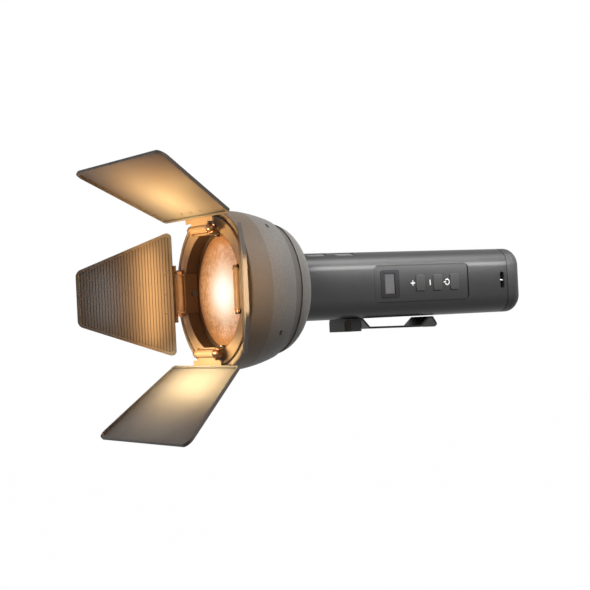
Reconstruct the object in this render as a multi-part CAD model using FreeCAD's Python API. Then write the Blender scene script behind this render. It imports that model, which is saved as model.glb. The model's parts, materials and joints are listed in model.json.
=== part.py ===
import FreeCAD, Part
import math
import os
from FreeCAD import Vector

# A hand-held LED video light: a square tube handle with battery and controls, a bell-shaped
# head with a condenser lens, and a turning ring with four barn doors.
# X runs along the tube, from the lamp's mouth (minus) to the tail (plus). Y points away from
# the side that has the control panel, Z points up. The origin is the mouth of the tripod
# socket under the tube. The pieces are modelled about the beam's axis, then lifted to it.

# Fits and gaps
snug_gap = 0.05
running_gap = 0.05
slip_gap = 0.2
moving_gap = 0.3
overrun = 1.0

# Battery cells, which set the width of the tube
cell_r = 9.25
cell_len = 65.0
cell_gap = 0.2
cell_in = 9.5
cell_button_r = 3.0
cell_button_h = 1.0
cradle_t = 1.5
cradle_play = 0.1

# Tube handle
board_bay = 5.0
tube_wall = 2.2
tube_front_x = -50.0
tube_len = 190.5
channel_inset = 1.9
channel_r = 2.6
cell_block = 2.0 * cell_r + cell_gap / 2.0
tube_half = cell_block + board_bay + tube_wall
corner_share = 0.55
tube_corner_r = corner_share * tube_half
tube_rear_x = tube_front_x + tube_len
inner_half = tube_half - tube_wall
inner_corner_r = tube_corner_r - tube_wall
corner_centre = tube_half - tube_corner_r
channel_at = corner_centre + (inner_corner_r - channel_inset) * math.sin(math.pi / 4.0)

# Cooling slots in the two upper corners of the tube, with a woven mesh in each
vent_len = 17.4
vent_w = 5.2
vent_pitch = 25.4
vent_in = 15.7
vent_count = 2
vent_tilt_deg = 25.0
mesh_t = 1.0
mesh_sunk = 0.7

# Strap slot and its bar, near the tail
strap_in = 5.0
strap_slot_w = 4.0
strap_slot_len = 13.4
strap_boss_len = 8.4
strap_boss_margin = 2.6
strap_boss_t = 3.4
strap_slot_depth = 4.4
strap_bar_r = 0.9
strap_bar_depth = 2.2
strap_bar_seat = 1.4

# End cap
cap_len = 16.2
cap_edge_r = 10.0
cap_end_t = 6.5
cap_spigot_len = 5.0
cap_spigot_wall = 1.8
cap_boss_r = 3.4
cap_bore_len = 6.0
cap_seam_w = 0.7
cap_seam_depth = 0.5

# Screws that run along the tube's channels
screw_r = 1.25
screw_head_r = 2.3
screw_head_h = 2.0
screw_bite = 9.0
socket_flat_r = 1.1
socket_flat_depth = 1.2

# Charging socket in the tail
port_w = 8.9
port_h = 3.2
port_len = 7.3
port_lip = 0.4
port_shell = 0.3
port_setback = 0.4
port_tongue_h = 0.7
port_tongue_w = 6.6
charge_board_w = 22.0
charge_board_t = 1.0
charge_board_len = 16.5

# Control panel
panel_in = 62.35
panel_len = 89.5
panel_h = 29.0
panel_corner_r = 4.2
panel_inset = 0.7
panel_gap = 0.2
panel_t = 0.8
panel_ledge = 2.0
window_in = 15.0
window_w = 17.2
window_h = 21.8
window_corner_r = 2.0
window_proud = 0.3
screen_w = 10.4
screen_h = 16.6
screen_depth = 0.7
screen_shift = 0.8
screen_corner_r = 0.6
window_flange = 1.0
window_flange_t = 0.6
control_board_t = 1.0
control_board_margin = 2.5
display_margin = 0.8

# Push buttons
button_in = 13.45
button_pitch_share = 0.1832
button_w = 8.1
button_h = 12.6
button_corner_r = 1.2
button_proud = 0.6
button_edge_r = 0.35
button_gap = 0.15
button_flange = 0.9
button_flange_t = 0.6
button_stem_r = 1.4
button_travel = 0.6
switch_half = 2.4
switch_h = 1.1

# Foot block with the tripod socket, and the belt clip that it clamps
block_len = 15.2
block_w = 29.6
block_h = 8.2
block_corner = 3.0
block_edge_r = 0.6
block_groove_r = 0.55
socket_r = 2.6
socket_depth = 7.0
block_screw_y = 8.4
block_screw_r = 1.45
block_head_r = 2.6
block_head_h = 2.2
block_head_inset = 0.7
nut_plate_t = 2.4
nut_plate_len = 14.0
clip_t = 1.6
clip_w = 24.0
clip_front_x = -7.0
clip_bend_x = 8.9
clip_run_x = 15.0
clip_drop = 6.6
clip_run_end_x = 63.2
clip_run_sag = 0.7
clip_heel_x = 70.8
clip_heel_end_x = 74.8
clip_lip_x = 79.6
clip_lip_drop = 7.2
clip_touch_gap = 0.8
clip_bend_r = 1.2
clip_lip_r = 4.0

# Bell, rear half; the places are distances in front of the neck
bell_wall = 2.4
joint_ahead = 23.5
bell_joint_r = 52.8
band_ahead = 16.0
band_rear_r = 49.8
band_depth = 1.0
dome_ahead = 8.0
dome_mid_r = 45.7
neck_r = 35.4
neck_round = 1.2
neck_wall = 3.0
rear_spigot_len = 13.5
rear_spigot_wall = 1.8

# Bell, front half
bell_step = 0.6
mouth_ahead = 64.5
lip_face_w = 5.5
lip_wall = 3.4
lip_round = 0.8
shoulder_in = 18.5
shoulder_drop = 1.7
screw_ring_ahead = 34.4
screw_ring_r = 56.9
collar_wall = 1.6
bell_screw_count = 4
bell_screw_clock_deg = 36.0
bell_slot_w = 2.2
bell_slot_len = 4.8
bell_slot_depth = 1.8
bell_screw_r = 0.7
bell_head_r = 1.0
bell_head_h = 1.0
bell_boss_r = 3.4

# Door ring
ring_proud = 0.5
ring_face_w = 10.0
ring_bore_gap = 1.2
ring_flange_t = 2.2
ring_collar_wall = 2.9
ring_len = 9.2
ring_edge_round = 0.5
seat_web_t = 2.0
seat_round_gap = 0.08
clip_ring_t = 1.0
clip_ring_depth = 1.2
clip_ring_proud = 1.8
clip_ring_open_deg = 24.0

# Lens
lens_r = 44.3
lens_edge_t = 3.0
lens_bulge = 8.0
lens_rim = 1.3
lens_in = 13.3
lens_seat_t = 2.0
lens_seat_step = 3.8
lens_ring_t = 1.0
lens_ring_wall = 2.9
lens_socket_wall = 2.4

# LED, reflector, heat sink
sink_base_t = 4.0
sink_margin = 0.4
fin_half = 14.8
fin_t = 1.2
fin_count = 9
fin_len = 15.0
fin_hole_gap = 0.6
fin_hole_corner_r = 1.0
led_board_r = 19.0
led_board_t = 1.6
cob_r = 9.5
cob_t = 1.2
holder_bore_gap = 0.6
holder_r = 17.0
holder_t = 4.0
holder_screw_at = 14.0
holder_screw_r = 0.9
holder_head_r = 1.6
holder_head_h = 1.0
reflector_wall = 1.0
reflector_small_r = 11.5
reflector_mouth_in = 2.3
reflector_steps = 7
reflector_bow = 0.6
reflector_flange = 4.0

# Fan
fan_half = 15.0
fan_t = 10.0
fan_corner_r = 3.0
fan_bore_r = 14.2
fan_hub_r = 8.0
fan_hub_len = 6.6
fan_stator_t = 2.0
fan_arm_w = 2.4
fan_arm_count = 3
fan_blade_r = 13.6
fan_blade_t = 0.9
fan_blade_count = 7
fan_blade_tilt_deg = 38.0
fan_blade_chord = 6.6
fan_shaft_r = 0.8
fan_shaft_bite = 1.6
fan_screw_at = 12.0
fan_screw_r = 1.2
fan_head_r = 2.0
fan_head_h = 1.2
fan_post_r = 2.3
fan_screw_bite = 5.0
fan_front_play = 0.8

# LED driver
driver_gap = 6.8
driver_fan_gap = 4.0
driver_z = -8.2
driver_t = 1.6
coil_half = 6.0
coil_h = 7.0
coil_in = 12.0
cap_r = 4.0
cap_h = 12.0
cap_in = 8.0
cap_y = 8.0
chip_half = 4.0
chip_h = 1.6
chip_y = -9.0

# Hinge brackets on the ring
pin_r = 1.6
pin_lift = 3.3
wide_pin_ahead = 7.4
narrow_pin_ahead = 3.6
barrel_r = 2.9
barrel_half = 13.5
ear_gap = 0.2
ear_t = 1.2
ear_r = 3.3
bracket_t = 1.2
bracket_sink = 2.4
bracket_rear_gap = 0.4
bracket_lead = 1.2
bracket_pad_side = 0.3
bracket_screw_in = 6.0
bracket_screw_r = 1.25
bracket_head_r = 2.3
bracket_head_h = 1.3
bracket_screw_bite = 3.4
wide_head_r = 3.9
wide_head_h = 5.4
narrow_head_r = 3.1
narrow_head_h = 2.4
pin_washer_r = 3.0
pin_washer_h = 1.0
nut_r = 3.1
nut_h = 2.4
pin_tail = 0.6

# Doors
door_t = 2.6
door_floor_t = 1.0
door_rim = 1.8
door_free_rim = 2.5
wide_door_len = 76.4
wide_door_hinge_w = 105.7
wide_door_free_w = 153.5
wide_door_reach = 7.1
wide_door_offset = 6.4
narrow_door_len = 76.8
narrow_door_hinge_w = 97.4
narrow_door_free_w = 42.4
narrow_door_reach = 6.2
narrow_door_offset = 3.0
door_free_corner_r = 6.0
door_hinge_corner_r = 3.5
rim_corner_r = 3.0
strap_t = 1.0
strap_wide = 44.0
strap_step = 5.0
strap_lap = 11.0
strap_corner_r = 2.0
rivet_r = 1.2
rivet_head_r = 2.2
rivet_head_h = 0.9
rivet_pitch = 15.0
rivet_in = 6.0
top_rest_deg = 31.8
bottom_rest_deg = 42.4
left_rest_deg = 63.8
right_rest_deg = 38.0

# Derived places along the tube
tail_x = tube_rear_x + cap_len
strap_x = tube_rear_x - strap_in
cell_rear_x = tube_rear_x - cell_in
vent_first_x = tube_front_x + vent_in
side_y = -tube_half
panel_face_y = side_y + panel_inset
panel_back_y = panel_face_y + panel_t
board_back_y = -cell_block - 2.0 * slip_gap
board_front_y = board_back_y - control_board_t
panel_front_x = tube_front_x + panel_in
panel_rear_x = panel_front_x + panel_len
panel_x = (panel_front_x + panel_rear_x) / 2.0
window_x = panel_front_x + window_in
button_pitch = button_pitch_share * panel_len
button_x = panel_rear_x - button_in - 2.0 * button_pitch
board_end_x = panel_front_x + panel_ledge + control_board_margin

# Derived places of the head
neck_x = tube_front_x
neck_inner_x = neck_x - neck_wall
sink_front_x = neck_inner_x - sink_base_t
board_front_x = sink_front_x - led_board_t
holder_front_x = board_front_x - holder_t
fin_end_x = neck_inner_x + fin_len
fan_rear_x = fin_end_x + fan_t
driver_front_x = fan_rear_x + driver_fan_gap
driver_rear_x = board_end_x - driver_gap
sink_base_r = channel_at / math.sin(math.pi / 4.0) + screw_head_r + sink_margin
bell_joint_x = neck_x - joint_ahead
band_rear_x = neck_x - band_ahead
dome_mid_x = neck_x - dome_ahead
screw_ring_x = neck_x - screw_ring_ahead
lip_x = neck_x - mouth_ahead
ring_face_x = lip_x - ring_proud
ring_rear_x = ring_face_x + ring_len
ring_bore_r = lens_r + ring_bore_gap
ring_collar_r = ring_bore_r + ring_collar_wall
ring_r = ring_bore_r + ring_face_w
lip_r = ring_r + lip_face_w
shoulder_x = lip_x + shoulder_in
shoulder_r = lip_r - shoulder_drop
lens_back_x = lip_x + lens_in
lens_front_x = lens_back_x - lens_edge_t
lens_ring_r = lens_r + lens_ring_wall
reflector_mouth_r = lens_r - reflector_mouth_in
seat_web_x = ring_face_x + ring_flange_t + moving_gap
seat_bore_r = ring_collar_r + seat_round_gap
clip_ring_x = seat_web_x + seat_web_t + moving_gap
bracket_top_r = ring_bore_r - bracket_sink
bracket_screw_x = ring_face_x + bracket_screw_in
pin_at_r = bracket_top_r + pin_lift
wide_pin_x = ring_face_x - wide_pin_ahead
narrow_pin_x = ring_face_x - narrow_pin_ahead
axis_z = tube_half + clip_t + block_h
clock = {"top": 0.0, "left": 90.0, "bottom": 180.0, "right": -90.0}
rest_deg = {"top": top_rest_deg, "bottom": bottom_rest_deg, "left": left_rest_deg, "right": right_rest_deg}
head_side = {"top": -1, "left": -1, "bottom": 1, "right": -1}
wide_doors = ("top", "bottom")


def box(x0, x1, y0, y1, z0, z1):
    return Part.makeBox(x1 - x0, y1 - y0, z1 - z0, Vector(x0, y0, z0))


def disc(r, x0, x1, y=0.0, z=0.0):
    return Part.makeCylinder(r, x1 - x0, Vector(x0, y, z), Vector(1, 0, 0))


def tube(r_in, r_out, x0, x1):
    return disc(r_out, x0, x1).cut(disc(r_in, x0 - overrun, x1 + overrun))


def post_y(r, x, z, y0, y1):
    return Part.makeCylinder(r, y1 - y0, Vector(x, y0, z), Vector(0, 1, 0))


def post_z(r, x, y, z0, z1):
    return Part.makeCylinder(r, z1 - z0, Vector(x, y, z0), Vector(0, 0, 1))


def outline(points, plane):
    """A closed face in the XZ plane from (x, z) points; a point led by its mid point is an arc."""
    edges = []
    start = None
    last = None
    for point in points:
        if len(point) == 2:
            here = plane(*point)
            if last is not None:
                edges.append(Part.LineSegment(last, here).toShape())
        else:
            here = plane(point[2], point[3])
            edges.append(Part.Arc(last, plane(point[0], point[1]), here).toShape())
        if start is None:
            start = here
        last = here
    edges.append(Part.LineSegment(last, start).toShape())
    return Part.Face(Part.Wire(edges))


def in_xz(x, z):
    return Vector(x, 0, z)


def spin(points):
    """Turn an outline of (x, radius) points about the beam's axis."""
    return outline(points, in_xz).revolve(Vector(0, 0, 0), Vector(1, 0, 0), 360)


def edges_along(shape, axis):
    found = []
    for edge in shape.Edges:
        if len(edge.Vertexes) < 2:
            continue
        step = edge.Vertexes[1].Point.sub(edge.Vertexes[0].Point)
        if step.Length > 0 and abs(abs(step.dot(axis)) - step.Length) < step.Length * 1e-6:
            found.append(edge)
    return found


def rounded_bar(half, corner, x0, x1):
    bar = box(x0, x1, -half, half, -half, half)
    return bar.makeFillet(corner, edges_along(bar, Vector(1, 0, 0)))


def rounded_plate(x, z, w, h, corner, y0, y1):
    plate = box(x - w / 2.0, x + w / 2.0, y0, y1, z - h / 2.0, z + h / 2.0)
    return plate.makeFillet(corner, edges_along(plate, Vector(0, 1, 0)))


def turned(shape, degrees, centre=Vector(0, 0, 0), axis=Vector(1, 0, 0)):
    copy = shape.copy()
    copy.rotate(centre, axis, degrees)
    return copy


def four_corners(at):
    return [(sy * at, sz * at) for sy in (-1, 1) for sz in (-1, 1)]


def channel_places():
    return four_corners(channel_at)


def sheet(points, thickness, y0, y1):
    """A bent strip: a line of (x, z) points given a thickness on both sides, as wide as y0 to y1."""
    upper = []
    lower = []
    count = len(points)
    for i in range(count):
        before = points[max(i - 1, 0)]
        here = points[i]
        after = points[min(i + 1, count - 1)]
        into = (here[0] - before[0], here[1] - before[1])
        out = (after[0] - here[0], after[1] - here[1])
        if i == 0:
            into = out
        if i == count - 1:
            out = into
        a = math.atan2(into[1], into[0])
        b = math.atan2(out[1], out[0])
        middle = (a + b) / 2.0
        reach = thickness / 2.0 / math.cos((b - a) / 2.0)
        step = (-math.sin(middle) * reach, math.cos(middle) * reach)
        upper.append((here[0] + step[0], here[1] + step[1]))
        lower.append((here[0] - step[0], here[1] - step[1]))
    face = outline(upper + lower[::-1], in_xz)
    solid = face.extrude(Vector(0, y1 - y0, 0))
    solid.translate(Vector(0, y0, 0))
    return solid


def save(node, shapes):
    """Lift the solids from the beam's axis to their height over the socket and write them."""
    solids = []
    for shape in shapes:
        solids.extend(shape.Solids)
    group = solids[0].copy() if len(solids) == 1 else Part.makeCompound([s.copy() for s in solids])
    group.translate(Vector(0, 0, axis_z))
    for solid in group.Solids:
        if not solid.isValid() or solid.Volume <= 0:
            print("invalid solid in", node)
    group.exportStep("parts/" + node + ".step")
    print(node, len(group.Solids), "solids", round(group.Volume / 1000.0, 2), "cm3")


# Tube handle

def tube_body():
    body = rounded_bar(tube_half, tube_corner_r, tube_front_x, tube_rear_x)
    hollow = rounded_bar(inner_half, inner_corner_r, tube_front_x - overrun, tube_rear_x + overrun)
    shell = body.cut(hollow)
    channels = [disc(channel_r, tube_front_x, tube_rear_x, y, z) for y, z in channel_places()]
    shell = shell.fuse([c.common(body) for c in channels])
    boss = box(strap_x - strap_boss_len / 2.0, strap_x + strap_boss_len / 2.0,
               side_y + tube_wall / 2.0, -inner_half + strap_boss_t,
               -strap_slot_len / 2.0 - strap_boss_margin, strap_slot_len / 2.0 + strap_boss_margin)
    boss = boss.common(body)
    shell = shell.fuse(boss)
    cuts = [disc(screw_r + snug_gap, tube_front_x - overrun, tube_rear_x + overrun, y, z)
            for y, z in channel_places()]
    cuts.append(rounded_plate(panel_x, 0, panel_len + 2.0 * panel_gap, panel_h + 2.0 * panel_gap,
                              panel_corner_r + panel_gap, side_y - overrun, panel_back_y))
    cuts.append(rounded_plate(panel_x, 0, panel_len - 2.0 * panel_ledge, panel_h - 2.0 * panel_ledge,
                              panel_corner_r - panel_ledge / 2.0, side_y - overrun,
                              -inner_half + overrun))
    cuts.append(rounded_plate(strap_x, 0, strap_slot_w, strap_slot_len, strap_slot_w / 2.0 - snug_gap,
                              side_y - overrun, side_y + strap_slot_depth))
    cuts.append(strap_bar_rod(strap_bar_r + snug_gap))
    cuts += vent_bars(0, 0, tube_half)
    for side in (-1, 1):
        cuts.append(post_z(block_screw_r + snug_gap, 0, side * block_screw_y,
                           -tube_half - overrun, -inner_half + overrun))
    return shell.cut(cuts)


def vent_bars(inset, r0, r1):
    """Upright bars in the cooling slots, from r0 to r1 away from the centre of the tube's corner."""
    bars = []
    for i in range(vent_count):
        x = vent_first_x + i * vent_pitch
        half_len = vent_len / 2.0 - inset
        half_w = vent_w / 2.0 - inset
        for side in (-1, 1):
            bar = box(x - half_len, x + half_len, -half_w, half_w, r0, r1)
            bar = bar.makeFillet(half_w - snug_gap, edges_along(bar, Vector(0, 0, 1)))
            bar.rotate(Vector(x, 0, 0), Vector(1, 0, 0), -side * vent_tilt_deg)
            bar.translate(Vector(0, side * corner_centre, corner_centre))
            bars.append(bar)
    return bars


def vent_mesh():
    """A woven strip in each cooling slot, a little under the tube's surface."""
    top = tube_corner_r - mesh_sunk
    return vent_bars(snug_gap, top - mesh_t, top)


def strap_bar_rod(r):
    half = strap_slot_w / 2.0 + strap_bar_seat
    return Part.makeCylinder(r, 2.0 * half, Vector(strap_x - half, side_y + strap_bar_depth, 0),
                             Vector(1, 0, 0))


def end_cap():
    cap = rounded_bar(tube_half, tube_corner_r, tube_rear_x, tail_x)
    rear = [e for e in cap.Edges if e.BoundBox.XMin > tail_x - snug_gap]
    cap = cap.makeFillet(cap_edge_r, rear)
    seam_x = tube_rear_x + cap_seam_w
    seam = rounded_bar(tube_half + overrun, tube_corner_r + overrun, tube_rear_x - overrun, seam_x)
    core = rounded_bar(tube_half - cap_seam_depth, tube_corner_r - cap_seam_depth,
                       tube_rear_x - 2.0 * overrun, seam_x + overrun)
    cap = cap.cut(seam.cut(core))
    pocket = rounded_bar(inner_half, inner_corner_r, tube_rear_x - overrun, tail_x - cap_end_t)
    bosses = [disc(cap_boss_r, tube_rear_x, tail_x - cap_end_t, y, z) for y, z in channel_places()]
    outer = rounded_bar(inner_half - slip_gap, inner_corner_r - slip_gap,
                        tube_rear_x - cap_spigot_len, tube_rear_x)
    inner = rounded_bar(inner_half - slip_gap - cap_spigot_wall,
                        inner_corner_r - slip_gap - cap_spigot_wall,
                        tube_rear_x - cap_spigot_len - overrun, tube_rear_x + overrun)
    spigot = outer.cut(inner)
    relief = [disc(channel_r + slip_gap, tube_rear_x - cap_spigot_len - overrun, tube_rear_x, y, z)
              for y, z in channel_places()]
    relief.append(box(tube_rear_x - cap_spigot_len - overrun, tube_rear_x,
                      side_y, -inner_half + strap_boss_t + slip_gap,
                      -strap_slot_len / 2.0 - strap_boss_margin - slip_gap,
                      strap_slot_len / 2.0 + strap_boss_margin + slip_gap))
    spigot = spigot.cut(relief)
    root = spigot_root(tube_rear_x, tube_rear_x + cap_spigot_len / 2.0)
    cap = cap.cut(pocket).fuse([b.common(cap) for b in bosses] + [root, spigot])
    cuts = []
    for y, z in channel_places():
        cuts.append(disc(screw_r + snug_gap, tube_rear_x - overrun, tail_x, y, z))
        cuts.append(disc(screw_head_r + slip_gap, tail_x - cap_bore_len - screw_head_h, tail_x, y, z))
    cuts.append(port_shape(port_w + 2.0 * slip_gap, port_h + 2.0 * slip_gap,
                           tail_x - cap_end_t - overrun, tail_x + overrun))
    return cap.cut(cuts)


def spigot_root(x0, x1):
    """The thick band inside the end cap that the spigot grows from."""
    outer = rounded_bar(inner_half + snug_gap, inner_corner_r + snug_gap, x0, x1)
    inner = rounded_bar(inner_half - slip_gap - cap_spigot_wall,
                        inner_corner_r - slip_gap - cap_spigot_wall, x0 - overrun, x1 + overrun)
    return outer.cut(inner)


def cap_screw(x_head, towards):
    """A screw along X: its head's bearing face at x_head, its shank on the side of towards."""
    shank = screw_bite + cap_len - cap_bore_len - screw_head_h
    return lengthwise_screw(x_head, towards, shank)


def lengthwise_screw(x_head, towards, shank):
    head0 = min(x_head, x_head - towards * screw_head_h)
    shank0 = min(x_head, x_head + towards * shank)
    screws = []
    for y, z in channel_places():
        screw = disc(screw_head_r, head0, head0 + screw_head_h, y, z)
        screw = screw.fuse(disc(screw_r, shank0, shank0 + shank, y, z))
        top = x_head - towards * screw_head_h
        tool0 = min(top, top + towards * socket_flat_depth)
        screw = screw.cut(disc(socket_flat_r, tool0, tool0 + socket_flat_depth, y, z))
        screws.append(screw)
    return screws


def port_shape(w, h, x0, x1):
    shape = box(x0, x1, -w / 2.0, w / 2.0, -h / 2.0, h / 2.0)
    return shape.makeFillet(h / 2.0 - snug_gap, edges_along(shape, Vector(1, 0, 0)))


def charge_port():
    x1 = tail_x - port_setback
    x0 = x1 - port_len
    shell = port_shape(port_w, port_h, x0, x1)
    shell = shell.cut(port_shape(port_w - 2.0 * port_shell, port_h - 2.0 * port_shell,
                                 x0 + port_shell, x1 + overrun))
    tongue = box(x0, x1 - port_lip, -port_tongue_w / 2.0, port_tongue_w / 2.0,
                 -port_tongue_h / 2.0, port_tongue_h / 2.0)
    return shell.fuse(tongue)


def charge_board():
    x1 = tail_x - cap_end_t
    return box(x1 - charge_board_len, x1, -charge_board_w / 2.0, charge_board_w / 2.0,
               -port_h / 2.0 - charge_board_t, -port_h / 2.0)


# Battery

def battery_cells():
    at = cell_r + cell_gap / 2.0
    cells = []
    for y, z in four_corners(at):
        can = disc(cell_r, cell_rear_x - cell_len, cell_rear_x - cell_button_h, y, z)
        knob = disc(cell_button_r, cell_rear_x - cell_button_h, cell_rear_x, y, z)
        cells.append(can.fuse(knob))
    return cells


def battery_cradle():
    plates = []
    for x0 in (cell_rear_x - cell_len - cradle_play - cradle_t, cell_rear_x + cradle_play):
        plate = rounded_bar(inner_half - slip_gap, inner_corner_r - slip_gap, x0, x0 + cradle_t)
        cuts = [disc(channel_r + slip_gap, x0 - overrun, x0 + cradle_t + overrun, y, z)
                for y, z in channel_places()]
        cuts.append(box(x0 - overrun, x0 + cradle_t + overrun, side_y, board_back_y + slip_gap,
                        -tube_half, tube_half))
        plates.append(plate.cut(cuts))
    return plates


# Control panel

def button_places():
    return [button_x + i * button_pitch for i in range(3)]


def control_panel():
    plate = rounded_plate(panel_x, 0, panel_len, panel_h, panel_corner_r, panel_face_y, panel_back_y)
    cuts = [rounded_plate(window_x, 0, window_w + 2.0 * snug_gap, window_h + 2.0 * snug_gap,
                          window_corner_r, side_y - overrun, panel_back_y + overrun)]
    for x in button_places():
        cuts.append(rounded_plate(x, 0, button_w + 2.0 * button_gap, button_h + 2.0 * button_gap,
                                  button_corner_r + button_gap, side_y - overrun,
                                  panel_back_y + overrun))
    return plate.cut(cuts)


def display_window():
    front = panel_face_y - window_proud
    pane = rounded_plate(window_x, 0, window_w, window_h, window_corner_r, front, panel_back_y)
    pane = pane.makeFillet(window_proud / 2.0, front_edges(pane, front))
    pane = pane.cut(rounded_plate(window_x - screen_shift, 0, screen_w, screen_h, screen_corner_r,
                                  front - overrun, front + screen_depth))
    flange = rounded_plate(window_x, 0, window_w + 2.0 * window_flange, window_h + 2.0 * window_flange,
                           window_corner_r, panel_back_y, panel_back_y + window_flange_t)
    return pane.fuse(flange)


def front_edges(plate, front):
    """The edges of a plate that lie in its front face, for the panel's keys and window."""
    return [e for e in plate.Edges if e.BoundBox.YMax < front + snug_gap / 2.0]


def display_module():
    return box(window_x - window_w / 2.0 - display_margin, window_x + window_w / 2.0 + display_margin,
               panel_back_y + window_flange_t, board_front_y,
               -window_h / 2.0 - display_margin, window_h / 2.0 + display_margin)


def control_board():
    half_len = panel_len / 2.0 - panel_ledge - control_board_margin
    half_h = panel_h / 2.0 - panel_ledge
    return box(panel_x - half_len, panel_x + half_len, board_front_y, board_back_y, -half_h, half_h)


def tact_switches():
    return [box(x - switch_half, x + switch_half, board_front_y - switch_h, board_front_y,
                -switch_half, switch_half) for x in button_places()]


def push_button(x):
    front = panel_face_y - button_proud
    cap = rounded_plate(x, 0, button_w, button_h, button_corner_r, front, panel_back_y + running_gap)
    cap = cap.makeFillet(button_edge_r, front_edges(cap, front))
    flange_y = panel_back_y + running_gap
    flange = rounded_plate(x, 0, button_w + 2.0 * button_flange, button_h + 2.0 * button_flange,
                           button_corner_r, flange_y, flange_y + button_flange_t)
    stem_end = board_front_y - switch_h - button_travel - slip_gap
    stem = post_y(button_stem_r, x, 0, flange_y, stem_end)
    return cap.fuse([flange, stem])


# Foot block and belt clip

def mount_block():
    top = -tube_half - clip_t
    block = box(-block_len / 2.0, block_len / 2.0, -block_w / 2.0, block_w / 2.0, top - block_h, top)
    block = block.makeChamfer(block_corner, edges_along(block, Vector(0, 0, 1)))
    low = [e for e in block.Edges if e.BoundBox.ZMax < top - block_h + snug_gap]
    block = block.makeFillet(block_edge_r, low)
    cuts = [post_z(socket_r, 0, 0, top - block_h - overrun, top - block_h + socket_depth)]
    for x in (-block_len / 2.0, block_len / 2.0):
        for y in (-block_w / 2.0, block_w / 2.0):
            for spot in ((x, y - math.copysign(block_corner, y)), (x - math.copysign(block_corner, x), y)):
                cuts.append(post_z(block_groove_r, spot[0], spot[1], top - block_h - overrun, top + overrun))
    for side in (-1, 1):
        y = side * block_screw_y
        cuts.append(post_z(block_screw_r + snug_gap, 0, y, top - block_h - overrun, top + overrun))
        cuts.append(post_z(block_head_r + slip_gap, 0, y, top - block_h - overrun,
                           top - block_h + block_head_h + block_head_inset))
    return block.cut(cuts)


def block_screws():
    top = -tube_half - clip_t
    seat = top - block_h + block_head_h + block_head_inset
    screws = []
    for side in (-1, 1):
        y = side * block_screw_y
        screw = post_z(block_head_r, 0, y, seat - block_head_h, seat)
        screw = screw.fuse(post_z(block_screw_r, 0, y, seat, -inner_half + nut_plate_t))
        screw = screw.cut(post_z(socket_flat_r, 0, y, seat - block_head_h,
                                 seat - block_head_h + socket_flat_depth))
        screws.append(screw)
    return screws


def nut_plate():
    plate = box(-nut_plate_len / 2.0, nut_plate_len / 2.0, -corner_centre, corner_centre,
                -inner_half, -inner_half + nut_plate_t)
    cuts = [post_z(block_screw_r + snug_gap, 0, side * block_screw_y,
                   -inner_half - overrun, -inner_half + nut_plate_t + overrun) for side in (-1, 1)]
    return plate.cut(cuts)


def belt_clip():
    level = -tube_half - clip_t / 2.0
    low = level - clip_drop
    heel = level - clip_touch_gap
    line = [(clip_front_x, level), (clip_bend_x, level), (clip_run_x, low),
            (clip_run_end_x, low - clip_run_sag), (clip_heel_x, heel), (clip_heel_end_x, heel),
            (clip_lip_x, heel - clip_lip_drop)]
    clip = sheet(line, clip_t, -clip_w / 2.0, clip_w / 2.0)
    bends = [e for e in edges_along(clip, Vector(0, 1, 0))
             if clip_front_x + clip_t < e.BoundBox.XMin < clip_lip_x - clip_t]
    clip = clip.makeFillet(clip_bend_r, bends)
    tip = [e for e in clip.Edges if e.BoundBox.XMin > clip_lip_x - clip_t
           and e.BoundBox.YLength < snug_gap and e.BoundBox.ZMin < heel - clip_lip_drop + clip_t]
    if tip:
        clip = clip.makeFillet(clip_lip_r, tip)
    cuts = [post_z(block_screw_r + snug_gap, 0, side * block_screw_y, level - clip_t, level + clip_t)
            for side in (-1, 1)]
    return clip.cut(cuts)


# Bell

def bell_rear():
    outer = [(bell_joint_x, 0), (bell_joint_x, bell_joint_r - band_depth),
             (band_rear_x, band_rear_r - band_depth), (band_rear_x, band_rear_r),
             (dome_mid_x, dome_mid_r, neck_x - neck_round, neck_r), (neck_x, neck_r - neck_round),
             (neck_x, 0)]
    inner = [(bell_joint_x - overrun, 0), (bell_joint_x - overrun, bell_joint_r - bell_wall),
             (bell_joint_x, bell_joint_r - bell_wall), (band_rear_x, band_rear_r - band_depth - bell_wall),
             (dome_mid_x - bell_wall / 2.0, dome_mid_r - bell_wall, neck_inner_x, neck_r - bell_wall),
             (neck_inner_x, 0)]
    shell = spin(outer).cut(spin(inner))
    spigot_r = bell_joint_r - bell_wall
    shell = shell.fuse(tube(spigot_r - rear_spigot_wall, spigot_r,
                            bell_joint_x - rear_spigot_len, bell_joint_x + rear_spigot_wall))
    hole = rounded_bar(fin_half + fin_hole_gap, fin_hole_corner_r, neck_inner_x - overrun, neck_x + overrun)
    cuts = [hole] + radial_posts(bell_screw_r + snug_gap, spigot_r - bell_wall * 2.0, spigot_r + overrun)
    for y, z in channel_places():
        cuts.append(disc(screw_r + snug_gap, neck_inner_x - overrun, neck_x + overrun, y, z))
    return shell.cut(cuts)


def radial_posts(r, r0, r1):
    """Round bars that point out from the beam's axis, one at each of the bell's screw places."""
    post = post_z(r, screw_ring_x, 0, r0, r1)
    return [turned(post, bell_screw_clock_deg + 360.0 * i / bell_screw_count)
            for i in range(bell_screw_count)]


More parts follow.
